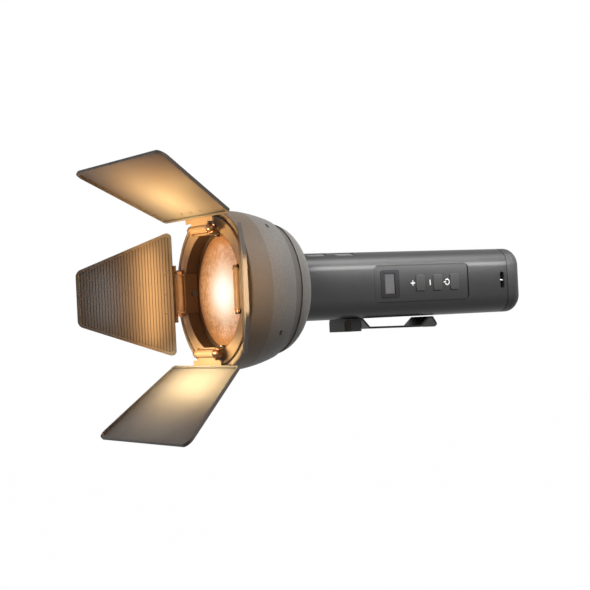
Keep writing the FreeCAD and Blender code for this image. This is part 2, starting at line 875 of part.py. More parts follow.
def bell_front():
    collar_r = bell_joint_r - bell_wall + snug_gap
    collar_x = bell_joint_x - rear_spigot_len - slip_gap
    shell = spin([(lip_x, lip_r - lip_wall), (lip_x, lip_r - lip_round), (lip_x + lip_round, lip_r),
                  (shoulder_x, shoulder_r),
                  (screw_ring_x, screw_ring_r, bell_joint_x, bell_joint_r + bell_step),
                  (bell_joint_x, collar_r), (screw_ring_x, screw_ring_r - bell_wall),
                  (shoulder_x, shoulder_r - bell_wall), (lip_x + lip_wall, lip_r - lip_wall)])
    collar = tube(collar_r, collar_r + collar_wall, collar_x, bell_joint_x)
    seat = tube(seat_bore_r, lip_r - lip_wall / 2.0, seat_web_x, seat_web_x + seat_web_t)
    web = tube(lens_r - lens_seat_step, shoulder_r - bell_wall / 2.0,
               lens_back_x, lens_back_x + lens_seat_t)
    socket = tube(lens_ring_r + snug_gap, lens_ring_r + lens_socket_wall,
                  lens_front_x - lens_ring_t, lens_back_x + lens_seat_t)
    bosses = radial_posts(bell_boss_r, collar_r, screw_ring_r - bell_wall / 2.0)
    spigot_room = disc(collar_r, collar_x, bell_joint_x + overrun)
    shell = shell.fuse([collar, seat, web, socket] + [boss.cut(spigot_room) for boss in bosses])
    floor_r = screw_ring_r - bell_slot_depth
    cuts = radial_posts(bell_screw_r + snug_gap, collar_r - overrun, floor_r + overrun)
    cuts += radial_posts(bell_head_r + snug_gap, floor_r - bell_head_h, floor_r + overrun)
    slot = box(screw_ring_x - bell_slot_w / 2.0, screw_ring_x + bell_slot_w / 2.0,
               -bell_slot_len / 2.0, bell_slot_len / 2.0, floor_r, lip_r)
    slot = slot.makeFillet(bell_slot_w / 2.0 - snug_gap, edges_along(slot, Vector(0, 0, 1)))
    cuts += [turned(slot, bell_screw_clock_deg + 360.0 * i / bell_screw_count)
             for i in range(bell_screw_count)]
    return shell.cut(cuts)


def bell_screws():
    """Short screws that join the two halves, their heads at the floor of the slots."""
    floor_r = screw_ring_r - bell_slot_depth
    spigot_r = bell_joint_r - bell_wall
    shanks = radial_posts(bell_screw_r, spigot_r - rear_spigot_wall, floor_r - bell_head_h)
    heads = radial_posts(bell_head_r, floor_r - bell_head_h, floor_r)
    tools = radial_posts(bell_head_r / 2.0, floor_r - bell_head_h / 2.0, floor_r + overrun)
    return [shank.fuse(head).cut(tool) for shank, head, tool in zip(shanks, heads, tools)]


# Lens, reflector, LED and heat sink

def lens():
    flat_r = lens_r - lens_rim
    ball_r = (flat_r ** 2 + lens_bulge ** 2) / (2.0 * lens_bulge)
    half = math.asin(flat_r / ball_r) / 2.0
    centre_x = lens_front_x - lens_bulge + ball_r
    mid = (centre_x - ball_r * math.cos(half), ball_r * math.sin(half))
    return spin([(lens_back_x, 0), (lens_back_x, lens_r), (lens_front_x, lens_r),
                 (lens_front_x, flat_r), (mid[0], mid[1], lens_front_x - lens_bulge, 0)])


def lens_ring():
    return tube(lens_r - lens_rim, lens_ring_r, lens_front_x - lens_ring_t, lens_front_x)


def reflector():
    """A bowl of conical rings that widen from the holder to the lens."""
    mouth_x = lens_back_x + lens_seat_t
    inner = []
    for i in range(reflector_steps + 1):
        share = i / reflector_steps
        x = holder_front_x + (mouth_x - holder_front_x) * share
        inner.append((x, reflector_small_r + (reflector_mouth_r - reflector_small_r) * share ** reflector_bow))
    outer = [(x + reflector_wall, r + reflector_wall) for x, r in inner[1:]]
    rim = [(mouth_x, reflector_mouth_r + reflector_flange),
           (mouth_x + reflector_wall, reflector_mouth_r + reflector_flange)]
    root = (holder_front_x, reflector_small_r + reflector_wall)
    return spin(inner + rim + outer[::-1] + [root])


def led_board():
    board = disc(led_board_r, board_front_x, sink_front_x)
    holes = [disc(holder_screw_r + snug_gap, board_front_x - overrun, sink_front_x + overrun,
                  side * holder_screw_at, 0) for side in (-1, 1)]
    return board.cut(holes)


def led_cob():
    return disc(cob_r, board_front_x - cob_t, board_front_x)


def led_holder():
    holder = tube(cob_r + holder_bore_gap, holder_r, holder_front_x, board_front_x)
    holes = []
    for side in (-1, 1):
        y = side * holder_screw_at
        holes.append(disc(holder_screw_r + snug_gap, holder_front_x, board_front_x + overrun, y, 0))
        holes.append(disc(holder_head_r + slip_gap, holder_front_x - overrun,
                          holder_front_x + holder_head_h, y, 0))
    return holder.cut(holes)


def holder_screws():
    screws = []
    for side in (-1, 1):
        y = side * holder_screw_at
        x0 = holder_front_x
        screw = disc(holder_head_r, x0, x0 + holder_head_h, y, 0)
        screws.append(screw.fuse(disc(holder_screw_r, x0 + holder_head_h,
                                      sink_front_x + sink_base_t / 2.0, y, 0)))
    return screws


def heat_sink():
    sink = disc(sink_base_r, sink_front_x, neck_inner_x)
    pitch = (2.0 * fin_half - fin_t) / (fin_count - 1)
    fins = []
    for i in range(fin_count):
        y = -fin_half + i * pitch
        fins.append(box(neck_inner_x, fin_end_x, y, y + fin_t, -fin_half, fin_half))
    for y, z in four_corners(fan_screw_at):
        fins.append(disc(fan_post_r, neck_inner_x, fin_end_x, y, z))
    sink = sink.fuse(fins)
    cuts = []
    for y, z in channel_places():
        cuts.append(disc(screw_r + snug_gap, sink_front_x - overrun, neck_inner_x + overrun, y, z))
    for y, z in four_corners(fan_screw_at):
        cuts.append(disc(fan_screw_r + snug_gap, fin_end_x - fan_screw_bite, fin_end_x + overrun, y, z))
    for side in (-1, 1):
        cuts.append(disc(holder_screw_r + snug_gap, sink_front_x - overrun,
                         sink_front_x + sink_base_t / 2.0, side * holder_screw_at, 0))
    return sink.cut(cuts)


def neck_screws():
    shank = sink_base_t + neck_wall + screw_bite
    return lengthwise_screw(sink_front_x, 1, shank)


# Fan

def fan_frame():
    frame = rounded_bar(fan_half, fan_corner_r, fin_end_x, fan_rear_x)
    frame = frame.cut(disc(fan_bore_r, fin_end_x - overrun, fan_rear_x + overrun))
    stator_x = fan_rear_x - fan_stator_t
    parts = [disc(fan_hub_r, stator_x, fan_rear_x)]
    for i in range(fan_arm_count):
        arm = box(stator_x, fan_rear_x, -fan_arm_w / 2.0, fan_arm_w / 2.0,
                  fan_hub_r / 2.0, fan_bore_r + snug_gap)
        parts.append(turned(arm, 360.0 * i / fan_arm_count))
    frame = frame.fuse(parts)
    cuts = [disc(fan_shaft_r + running_gap, stator_x - overrun, fan_rear_x + overrun)]
    for y, z in four_corners(fan_screw_at):
        cuts.append(disc(fan_screw_r + snug_gap, fin_end_x - overrun, fan_rear_x + overrun, y, z))
    return frame.cut(cuts)


def fan_rotor():
    x0 = fin_end_x + fan_front_play
    hub = disc(fan_hub_r, x0, x0 + fan_hub_len)
    ring = tube(fan_hub_r - fan_blade_t, fan_blade_r, x0, x0 + fan_hub_len)
    blades = []
    for i in range(fan_blade_count):
        mid = x0 + fan_hub_len / 2.0
        blade = box(mid - fan_blade_chord, mid + fan_blade_chord, -fan_blade_t / 2.0,
                    fan_blade_t / 2.0, fan_hub_r / 2.0, fan_bore_r)
        blade.rotate(Vector(mid, 0, 0), Vector(0, 0, 1), fan_blade_tilt_deg)
        blades.append(turned(blade.common(ring), 360.0 * i / fan_blade_count))
    stator_x = fan_rear_x - fan_stator_t
    shaft = disc(fan_shaft_r, x0, stator_x + fan_shaft_bite)
    return hub.fuse(blades + [shaft])


def fan_screws():
    screws = []
    for y, z in four_corners(fan_screw_at):
        head = disc(fan_head_r, fan_rear_x, fan_rear_x + fan_head_h, y, z)
        screws.append(head.fuse(disc(fan_screw_r, fin_end_x - fan_screw_bite + snug_gap,
                                     fan_rear_x, y, z)))
    return screws


# LED driver

def driver_board():
    half = inner_half - slip_gap
    return box(driver_front_x, driver_rear_x, -half, half, driver_z - driver_t, driver_z)


def driver_parts():
    coil_x = driver_front_x + coil_in
    coil = box(coil_x - coil_half, coil_x + coil_half, -coil_half, coil_half,
               driver_z, driver_z + coil_h)
    parts = [coil]
    for side in (-1, 1):
        parts.append(post_z(cap_r, driver_rear_x - cap_in, side * cap_y, driver_z, driver_z + cap_h))
    parts.append(box(coil_x - chip_half, coil_x + chip_half, chip_y - 2.0 * chip_half, chip_y,
                     driver_z, driver_z + chip_h))
    return parts


# Door ring

def hinge_pin_x(door):
    return wide_pin_x if door in wide_doors else narrow_pin_x


def door_ring():
    groove_r = ring_collar_r - clip_ring_depth
    flange_back = ring_face_x + ring_flange_t
    points = [(ring_face_x, ring_bore_r), (ring_face_x, ring_r - ring_edge_round),
              (ring_face_x + ring_edge_round, ring_r), (flange_back, ring_r),
              (flange_back, ring_collar_r),
              (clip_ring_x - snug_gap, ring_collar_r), (clip_ring_x - snug_gap, groove_r),
              (clip_ring_x + clip_ring_t + snug_gap, groove_r),
              (clip_ring_x + clip_ring_t + snug_gap, ring_collar_r),
              (ring_rear_x, ring_collar_r), (ring_rear_x, ring_bore_r)]
    ring = spin(points)
    half = barrel_half + ear_gap + ear_t + bracket_pad_side
    for door in clock:
        pad = box(flange_back, ring_rear_x, -half, half, bracket_top_r,
                  ring_bore_r + snug_gap).common(disc(ring_bore_r + snug_gap, flange_back, ring_rear_x))
        ring = ring.fuse(turned(pad, clock[door]))
    cuts = []
    for door in clock:
        seat = box(ring_face_x - overrun, ring_rear_x + overrun, -half, half,
                   bracket_top_r - bracket_t * 2.0, bracket_top_r)
        cuts.append(turned(seat, clock[door]))
        hole = post_z(bracket_screw_r + snug_gap, bracket_screw_x, 0, bracket_top_r - overrun,
                      bracket_top_r + bracket_screw_bite)
        cuts.append(turned(hole, clock[door]))
    return ring.cut(cuts)


def ring_clip():
    groove_r = ring_collar_r - clip_ring_depth
    clip = tube(groove_r + snug_gap, ring_collar_r + clip_ring_proud,
                clip_ring_x, clip_ring_x + clip_ring_t)
    opening = box(clip_ring_x - overrun, clip_ring_x + clip_ring_t + overrun, 0, ring_r, 0, ring_r)
    gap = opening.common(turned(opening, clip_ring_open_deg - 90.0))
    return clip.cut(turned(gap, 45.0))


def hinge_bracket(door):
    pin_x = hinge_pin_x(door)
    outer = barrel_half + ear_gap + ear_t
    inner = barrel_half + ear_gap
    low = bracket_top_r - bracket_t
    rear = ring_rear_x - bracket_rear_gap
    plate = box(pin_x + bracket_lead, rear, -outer, outer, low, bracket_top_r)
    front = ring_face_x - bracket_rear_gap
    ears = []
    for side in (-1, 1):
        y0 = min(side * inner, side * outer)
        face = outline([(front, low), (front, bracket_top_r + bracket_t),
                        (pin_x + ear_r * math.cos(math.pi / 4.0), pin_at_r + ear_r * math.sin(math.pi / 4.0)),
                        (pin_x - ear_r, pin_at_r), (pin_x, low)], in_xz)
        ear = face.extrude(Vector(0, ear_t, 0))
        ear.translate(Vector(0, y0, 0))
        round_end = post_y(ear_r, pin_x, pin_at_r, y0, y0 + ear_t)
        ears.append(ear.fuse(round_end))
    bracket = plate.fuse(ears)
    cuts = [post_y(pin_r + snug_gap, pin_x, pin_at_r, -outer - overrun, outer + overrun),
            post_z(bracket_screw_r + snug_gap, bracket_screw_x, 0, low - overrun,
                   bracket_top_r + overrun)]
    return turned(bracket.cut(cuts), clock[door])


def bracket_screw(door):
    low = bracket_top_r - bracket_t
    head = post_z(bracket_head_r, bracket_screw_x, 0, low - bracket_head_h, low)
    shank = post_z(bracket_screw_r, bracket_screw_x, 0, low, bracket_top_r + bracket_screw_bite - snug_gap)
    tool = post_z(socket_flat_r, bracket_screw_x, 0, low - bracket_head_h,
                  low - bracket_head_h + socket_flat_depth / 2.0)
    return turned(head.fuse(shank).cut(tool), clock[door])


def hinge_pin(door):
    """A pin whose domed head is on the -Y side; turned about where a door has it on the +Y side."""
    pin_x = hinge_pin_x(door)
    outer = barrel_half + ear_gap + ear_t
    head_r, head_h = (wide_head_r, wide_head_h) if door in wide_doors else (narrow_head_r, narrow_head_h)
    crown_y = -outer - pin_washer_h - head_h
    head = post_y(head_r, pin_x, pin_at_r, crown_y, -outer - pin_washer_h)
    crown = [e for e in head.Edges if e.BoundBox.YMax < crown_y + snug_gap]
    head = head.makeFillet(head_h * 2.0 / 3.0, crown)
    washer = post_y(pin_washer_r, pin_x, pin_at_r, -outer - pin_washer_h, -outer)
    shank = post_y(pin_r, pin_x, pin_at_r, -outer - pin_washer_h, outer + nut_h + pin_tail)
    tool = post_y(socket_flat_r, pin_x, pin_at_r, crown_y, crown_y + socket_flat_depth)
    return place_pin(head.fuse([washer, shank]).cut(tool), door)


def hinge_nut(door):
    pin_x = hinge_pin_x(door)
    outer = barrel_half + ear_gap + ear_t
    corners = []
    for i in range(6):
        a = math.radians(60.0 * i)
        corners.append((pin_x + nut_r * math.cos(a), pin_at_r + nut_r * math.sin(a)))
    nut = outline(corners, in_xz).extrude(Vector(0, nut_h, 0))
    nut.translate(Vector(0, outer, 0))
    bore = post_y(pin_r + snug_gap, pin_x, pin_at_r, outer - overrun, outer + nut_h + overrun)
    return place_pin(nut.cut(bore), door)


def place_pin(shape, door):
    if head_side[door] > 0:
        shape = turned(shape, 180.0, Vector(hinge_pin_x(door), 0, pin_at_r), Vector(0, 0, 1))
    return turned(shape, clock[door])


# Doors

def door_sizes(door):
    if door in wide_doors:
        return (wide_door_len, wide_door_hinge_w, wide_door_free_w, wide_door_reach, wide_door_offset)
    return (narrow_door_len, narrow_door_hinge_w, narrow_door_free_w, narrow_door_reach,
            narrow_door_offset)


def place_door(shape, door):
    """Open a door that lies along -X at the top of the ring, then turn it to its clock place."""
    pin = Vector(hinge_pin_x(door), 0, pin_at_r)
    opened = turned(shape, rest_deg[door], pin, Vector(0, 1, 0))
    return turned(opened, clock[door])


def door_slab(door, inset_hinge, inset_free, inset_side, z0, z1, hinge_corner, free_corner):
    length, hinge_w, free_w, reach = door_sizes(door)[:4]
    x0 = hinge_pin_x(door) - reach
    slope = (free_w - hinge_w) / 2.0 / length
    side = inset_side * math.sqrt(1.0 + slope ** 2)
    xa = x0 - inset_hinge
    xb = x0 - length + inset_free
    ya = hinge_w / 2.0 + slope * inset_hinge - side
    yb = free_w / 2.0 - slope * inset_free - side
    slab = Part.Face(Part.makePolygon([Vector(xa, -ya, z0), Vector(xa, ya, z0), Vector(xb, yb, z0),
                                       Vector(xb, -yb, z0), Vector(xa, -ya, z0)]))
    slab = slab.extrude(Vector(0, 0, z1 - z0))
    upright = edges_along(slab, Vector(0, 0, 1))
    middle = (xa + xb) / 2.0
    slab = slab.makeFillet(free_corner, [e for e in upright if e.BoundBox.XMin < middle])
    upright = [e for e in edges_along(slab, Vector(0, 0, 1)) if abs(e.BoundBox.XMin - xa) < snug_gap]
    return slab.makeFillet(hinge_corner, upright)


def door_leaf(door):
    offset = door_sizes(door)[4]
    low = pin_at_r + offset - door_t / 2.0
    high = low + door_t
    tray = door_slab(door, 0, 0, 0, low, high, door_hinge_corner_r, door_free_corner_r)
    pocket = door_slab(door, door_rim, door_free_rim, door_rim, low - overrun, high - door_floor_t,
                       rim_corner_r, rim_corner_r)
    holes = [post_z(rivet_r + snug_gap, rivet_x(door), y, low - overrun, high + overrun)
             for y in rivet_places()]
    return place_door(tray.cut([pocket] + holes), door)


def rivet_x(door):
    return hinge_pin_x(door) - door_sizes(door)[3] - rivet_in


def rivet_places():
    return (-rivet_pitch, 0.0, rivet_pitch)


def door_hinge(door):
    reach, offset = door_sizes(door)[3:]
    pin_x = hinge_pin_x(door)
    level = pin_at_r + offset + door_t / 2.0 + strap_t / 2.0
    bend = (pin_x - reach + strap_t / 2.0, level)
    end = (pin_x - reach - strap_lap, level)
    strap = sheet([(pin_x, pin_at_r), bend, end], strap_t, -strap_wide / 2.0, strap_wide / 2.0)
    strap = strap.cut([post_y(strap_step, pin_x, pin_at_r, -strap_wide, -barrel_half),
                       post_y(strap_step, pin_x, pin_at_r, barrel_half, strap_wide)])
    corners = [e for e in edges_along(strap, Vector(0, 0, 1)) if abs(e.BoundBox.XMin - end[0]) < snug_gap]
    strap = strap.makeFillet(strap_corner_r, corners)
    barrel = post_y(barrel_r, pin_x, pin_at_r, -barrel_half, barrel_half)
    hinge = strap.fuse(barrel)
    cuts = [post_y(pin_r + running_gap, pin_x, pin_at_r, -barrel_half - overrun, barrel_half + overrun)]
    cuts += [post_z(rivet_r + snug_gap, rivet_x(door), y, level - strap_t, level + strap_t)
             for y in rivet_places()]
    return place_door(hinge.cut(cuts), door)


def door_rivets(door):
    offset = door_sizes(door)[4]
    high = pin_at_r + offset + door_t / 2.0
    rivets = []
    for y in rivet_places():
        x = rivet_x(door)
        head = post_z(rivet_head_r, x, y, high + strap_t, high + strap_t + rivet_head_h)
        crown = [e for e in head.Edges if e.BoundBox.ZMin > high + strap_t + rivet_head_h - snug_gap]
        head = head.makeFillet(rivet_head_h * 2.0 / 3.0, crown)
        shank = post_z(rivet_r, x, y, high - door_floor_t, high + strap_t)
        rivets.append(place_door(head.fuse(shank), door))
    return rivets


def main():
    os.makedirs("parts", exist_ok=True)
    save("tube_body", [tube_body()])
    save("vent_mesh", vent_mesh())
    save("strap_bar", [strap_bar_rod(strap_bar_r)])
    save("end_cap", [end_cap()])
    save("end_cap_screws", cap_screw(tail_x - cap_bore_len - screw_head_h, -1))
    save("charge_port", [charge_port()])
    save("charge_board", [charge_board()])
    save("battery_cells", battery_cells())
    save("battery_cradle", battery_cradle())
    save("control_panel", [control_panel()])
    save("display_window", [display_window()])
    save("display_module", [display_module()])
    save("control_board", [control_board()])
    save("tact_switches", tact_switches())
    names = ("plus_button", "minus_button", "power_button")
    for name, x in zip(names, button_places()):
        save(name, [push_button(x)])
    save("mount_block", [mount_block()])
    save("block_screws", block_screws())
    save("nut_plate", [nut_plate()])
    save("belt_clip", [belt_clip()])
    save("bell_rear", [bell_rear()])
    save("bell_front", [bell_front()])
    save("bell_screws", bell_screws())
    save("neck_screws", neck_screws())
    save("lens", [lens()])
    save("lens_ring", [lens_ring()])
    save("reflector", [reflector()])
    save("led_board", [led_board()])
    save("led_cob", [led_cob()])
    save("led_holder", [led_holder()])
    save("holder_screws", holder_screws())
    save("heat_sink", [heat_sink()])
    save("fan_frame", [fan_frame()])
    save("fan_rotor", [fan_rotor()])
    save("fan_screws", fan_screws())
    save("driver_board", [driver_board()])
    save("driver_parts", driver_parts())
    save("door_ring", [door_ring()])
    save("ring_clip", [ring_clip()])
    save("hinge_brackets", [hinge_bracket(door) for door in clock])
    save("bracket_screws", [bracket_screw(door) for door in clock])
    save("hinge_pins", [hinge_pin(door) for door in clock])
    save("hinge_nuts", [hinge_nut(door) for door in clock])
    for door in clock:
        save(door + "_door", [door_leaf(door)])
        save(door + "_door_hinge", [door_hinge(door)])
        save(door + "_door_rivets", door_rivets(door))


main()
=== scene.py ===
# %% [markdown]
# # A hand-held LED video light
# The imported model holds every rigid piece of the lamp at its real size. This lesson gives each piece its
# finish, adds the fine ribs of the barn doors and the printed signs, lights the lamp from inside and sets
# up the camera.

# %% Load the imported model
import json
import math

import bmesh
import bpy
from mathutils import Matrix, Vector


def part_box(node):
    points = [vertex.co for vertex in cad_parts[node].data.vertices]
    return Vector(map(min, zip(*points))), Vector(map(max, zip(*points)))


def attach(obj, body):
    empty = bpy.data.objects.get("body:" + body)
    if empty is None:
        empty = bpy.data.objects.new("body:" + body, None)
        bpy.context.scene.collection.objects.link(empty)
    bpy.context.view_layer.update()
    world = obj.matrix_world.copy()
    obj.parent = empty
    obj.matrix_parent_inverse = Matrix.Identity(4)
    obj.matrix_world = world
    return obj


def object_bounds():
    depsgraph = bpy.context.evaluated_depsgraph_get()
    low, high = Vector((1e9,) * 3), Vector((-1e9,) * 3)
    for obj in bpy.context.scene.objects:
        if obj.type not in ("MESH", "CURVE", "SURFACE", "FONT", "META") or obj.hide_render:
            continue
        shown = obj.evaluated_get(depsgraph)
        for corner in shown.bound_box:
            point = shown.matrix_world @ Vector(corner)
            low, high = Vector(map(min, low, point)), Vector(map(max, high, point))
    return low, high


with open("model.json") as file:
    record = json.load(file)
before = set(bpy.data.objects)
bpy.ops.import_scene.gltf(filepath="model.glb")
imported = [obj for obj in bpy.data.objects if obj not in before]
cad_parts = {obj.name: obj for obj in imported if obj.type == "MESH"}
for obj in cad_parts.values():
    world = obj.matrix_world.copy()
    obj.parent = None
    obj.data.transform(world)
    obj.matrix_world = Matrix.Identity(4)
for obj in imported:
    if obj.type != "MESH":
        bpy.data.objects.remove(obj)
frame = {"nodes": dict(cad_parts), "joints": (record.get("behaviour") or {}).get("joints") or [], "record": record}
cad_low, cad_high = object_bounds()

mm = 0.001
node_names = sorted(frame["nodes"])
joints = {joint["name"]: joint for joint in frame["joints"]}
tube_low, tube_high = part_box("tube_body")
beam_height = (tube_low.z + tube_high.z) / 2
mouth_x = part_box("bell_front")[0].x
print(len(node_names), "pieces and", len(joints), "joints; the beam's axis is at z =", round(beam_height, 4))

# %% [markdown]
# ## Writing a finish as Python
# A material is a graph of nodes, and a graph is slow to draw by hand. The first small class stands for the
# output of a node, so that sums and products of surface patterns read like ordinary arithmetic. Each one
# adds its Math node.

# %% A value that varies over a surface


class Flow:
    """A value that varies over a surface. Arithmetic on it adds Math nodes to its material."""

    def __init__(self, finish, socket):
        self.finish = finish
        self.socket = socket

    def math(self, operation, first, second=0.0):
        return self.finish.node("ShaderNodeMath", {"operation": operation}, {0: first, 1: second})

    def __add__(self, other):
        return self.math("ADD", self, other)

    def __radd__(self, other):
        return self.math("ADD", other, self)

    def __sub__(self, other):
        return self.math("SUBTRACT", self, other)

    def __rsub__(self, other):
        return self.math("SUBTRACT", other, self)

    def __mul__(self, other):
        return self.math("MULTIPLY", self, other)

    def __rmul__(self, other):
        return self.math("MULTIPLY", other, self)

    def __truediv__(self, other):
        return self.math("DIVIDE", self, other)

    def __rtruediv__(self, other):
        return self.math("DIVIDE", other, self)

    def size(self):
        return self.math("ABSOLUTE", self)

    def root(self):
        return self.math("SQRT", self)

    def sine(self):
        return self.math("SINE", self)

    def ramp(self, start, end, low=0.0, high=1.0):
        """A smooth step from low at start to high at end, flat outside them."""
        ends = {"From Min": start, "From Max": end, "To Min": low, "To Max": high}
        settings = {"interpolation_type": "SMOOTHSTEP", "clamp": True}
        return self.finish.node("ShaderNodeMapRange", settings, {"Value": self, **ends})


print("arithmetic on a Flow adds Math nodes")

# %% [markdown]
# The second class is one material. A constant goes straight on the shader's own socket, and a pattern is
# linked to it. Every pattern reads Object coordinates, which are metres on the lamp, so a grain keeps its
# real size from piece to piece and needs no unwrapping.

# %% A material and its patterns


class Finish:
    """One material: constants go on the shader's own sockets, patterns are linked to them."""

    def __init__(self, name, colour, roughness, **constants):
        self.material = bpy.data.materials.new(name)
        self.material.use_nodes = True
        self.tree = self.material.node_tree
        self.shader = self.tree.nodes["Principled BSDF"]
        self.set("Base Color", colour)
        self.set("Roughness", roughness)
        for socket, value in constants.items():
            self.set(socket.replace("_", " "), value)

    def set(self, socket, value):
        self.feed(self.shader.inputs[socket], value)

    def feed(self, socket, value):
        if isinstance(value, Flow):
            self.tree.links.new(value.socket, socket)
        elif isinstance(value, (tuple, list)) and len(value) < len(socket.default_value):
            socket.default_value = (*value, 1.0)
        else:
            socket.default_value = value

    def node(self, kind, settings=None, inputs=None, output=0):
        made = self.tree.nodes.new(kind)
        for name, value in (settings or {}).items():
            setattr(made, name, value)
        for name, value in (inputs or {}).items():
            self.feed(made.inputs[name], value)
        return Flow(self, made.outputs[output])

    def place(self):
        return self.node("ShaderNodeTexCoord", output="Object")

    def along(self, axis):
        return self.node("ShaderNodeSeparateXYZ", None, {0: self.place()}, output=axis)

    def radius(self):
        """The distance from the beam's axis."""
        y = self.along("Y")
        z = self.along("Z") - beam_height
        return (y * y + z * z).root()

    def noise(self, scale, detail=3.0, roughness=0.5):
        inputs = {"Vector": self.place(), "Scale": scale, "Detail": detail, "Roughness": roughness}
        return self.node("ShaderNodeTexNoise", None, inputs)

    def cells(self, scale):
        settings = {"feature": "SMOOTH_F1"}
        return self.node("ShaderNodeTexVoronoi", settings, {"Vector": self.place(), "Scale": scale})

    def blend(self, mask, colour_a, colour_b):
        made = self.tree.nodes.new("ShaderNodeMix")
        made.data_type = "RGBA"
        self.feed(made.inputs[0], mask)
        self.feed(made.inputs[6], colour_a)
        self.feed(made.inputs[7], colour_b)
        return Flow(self, made.outputs[2])

    def bump(self, height, distance, strength=1.0):
        inputs = {"Height": height, "Distance": distance, "Strength": strength}
        self.set("Normal", self.node("ShaderNodeBump", None, inputs))


print("a finish is written in Python from here on")

# %% [markdown]
# ## Paint of the head
# The head is sprayed with a grey paint that dries to a fine rough texture. A picture of it would have to be
# wrapped round a dome, so noise is used instead: one slow pattern for the tone, one quick one for the
# specks, which also drives the bump. The lamp's warm glow is painted in, turning the grey brown towards the
# mouth; painted shade makes a step at the ridge and darkens the groove between the two shells.

# %% Paint of the head
ridge_x = mouth_x + 18.5 * mm
painted_glow_end_x = ridge_x + 15 * mm
recess_start_x = mouth_x + 41.0 * mm
recess_end_x = mouth_x + 48.5 * mm
ridge_blur = 0.8 * mm
recess_blur = 0.1 * mm
paint_speck_height = 0.16 * mm
speck_share = 0.4
painted_glow_share = 0.5
painted_front_shade_share = 0.45
painted_recess_shade_share = 0.6


def weathered_grey(paint, speck):
    """The grey of the whole head, with its slow tone and its dark specks."""
    tone = paint.noise(60.0, 4.0)
    grey = paint.blend(tone, (0.262, 0.259, 0.253), (0.315, 0.312, 0.305))
    return paint.blend(speck.ramp(0.35, 0.65) * speck_share, grey, (0.15, 0.147, 0.142))


def head_paint():
    """Textured grey paint, with the lamp's glow painted brown ahead of the ridge and painted shade in the recess.
    """
    paint = Finish("head_paint", (0.25, 0.246, 0.238), 0.58, Specular_IOR_Level=0.3)
    x = paint.along("X")
    speck = paint.noise(1000.0, 3.0, 0.7)
    # The lamp's warm glow is painted brown into the grey near the mouth.
    painted_glow = x.ramp(mouth_x, painted_glow_end_x, 1.0, 0.0)
    glow_tinted_grey = paint.blend(painted_glow * painted_glow_share, weathered_grey(paint, speck), (0.25, 0.16, 0.08))
    # Painted shade, tinted by the lamp's glow, darkens the front shell ahead of the ridge.
    front = x.ramp(ridge_x - ridge_blur, ridge_x + ridge_blur, 1.0, 0.0)
    shell = paint.blend(front * painted_front_shade_share, glow_tinted_grey, (0.16, 0.115, 0.07))
    # Painted shade darkens the recess between the two shells.
    enters = x.ramp(recess_start_x - recess_blur, recess_start_x + recess_blur)
    leaves = x.ramp(recess_end_x - recess_blur, recess_end_x + recess_blur, 1.0, 0.0)
    painted_recess_shade = enters * leaves * painted_recess_shade_share
    paint.set("Base Color", paint.blend(painted_recess_shade, shell, (0.115, 0.112, 0.108)))
    paint.set("Roughness", speck.ramp(0.3, 0.7, 0.5, 0.66))
    paint.bump(speck, paint_speck_height, 0.7)
    return paint


print("the ridge is at x =", round(ridge_x / mm, 1), "mm")

# %% [markdown]
# ## Skin of the tube and black plastic
# The tube is aluminium, blasted with beads and anodised black. It is half a metal to the eye, with a satin
# sheen that draws one soft band along each rounded edge. Panel, keys, end cap and clip are plastic or
# coated steel: the same matt recipe serves them all with another black and another grain.

# %% Anodised tube and moulded black
tube_grain_height = 0.04 * mm
plastic_grain_height = 0.04 * mm
lighter_factor = 1.35


def anodised_tube():
    """Black anodised aluminium, bead-blasted: a satin sheen with a very fine grain."""
    skin = Finish("anodised_tube", (0.04, 0.04, 0.041), 0.38, Metallic=0.5, Specular_IOR_Level=0.3)
    tone = skin.noise(90.0, 3.0)
    grain = skin.noise(3200.0, 2.0)
    skin.set("Base Color", skin.blend(tone, (0.036, 0.036, 0.037), (0.043, 0.043, 0.044)))
    skin.set("Roughness", grain.ramp(0.25, 0.75, 0.34, 0.43))
    skin.bump(grain, tube_grain_height, 0.4)
    return skin


def grained_skin(name, colour, roughness, grain_scale):
    """A matt skin of one colour with a fine even grain."""
    skin = Finish(name, colour, roughness, Specular_IOR_Level=0.25)
    grain = skin.noise(grain_scale, 2.0)
    skin.set("Roughness", grain.ramp(0.2, 0.8, roughness - 0.06, roughness + 0.08))
    skin.bump(grain, plastic_grain_height, 0.5)
    return skin


def moulded_black(name, colour, roughness, grain_scale=1800.0):
    """Moulded plastic or a coat: the grained skin with a slow tone in its colour."""
    skin = grained_skin(name, colour, roughness, grain_scale)
    lighter = tuple(channel * lighter_factor for channel in colour)
    skin.set("Base Color", skin.blend(skin.noise(45.0, 3.0), colour, lighter))
    return skin


print("tube and plastics have a grain of", round(tube_grain_height / mm, 3), "mm")

# %% [markdown]
# ## Coats of the doors
# The doors are sheet with a thin satin coat, which shows each pool of light and has no grain to speak of. A
# bump would break the pools up, so one slow tone is enough. The ribs are matt and nearly black, which
# paints the shade of the grooves between them: a coat of their own keeps them dark in the middle of a pool.

# %% Coat of the doors and their ribs


def door_coat():
    """The doors' sheet has a thin even satin coat."""
    coat = Finish("door_coat", (0.12, 0.114, 0.106), 0.52, Metallic=0.1, Specular_IOR_Level=0.12)
    tone = coat.noise(70.0, 3.0)
    coat.set("Base Color", coat.blend(tone, (0.112, 0.106, 0.099), (0.13, 0.123, 0.115)))
    coat.set("Roughness", tone.ramp(0.3, 0.7, 0.48, 0.56))
    return coat


def rib_painted_shade():
    """The ribs of the side doors carry a matt black line of their own, the painted shade of the grooves between
    them.
    """
    coat = Finish("rib_painted_shade", (0.04, 0.036, 0.032), 0.6, Specular_IOR_Level=0.2)
    tone = coat.noise(500.0, 3.0)
    coat.set("Base Color", coat.blend(tone, (0.034, 0.03, 0.027), (0.048, 0.043, 0.038)))
    coat.set("Roughness", tone.ramp(0.3, 0.7, 0.54, 0.66))
    return coat


print("doors and ribs have a coat each")
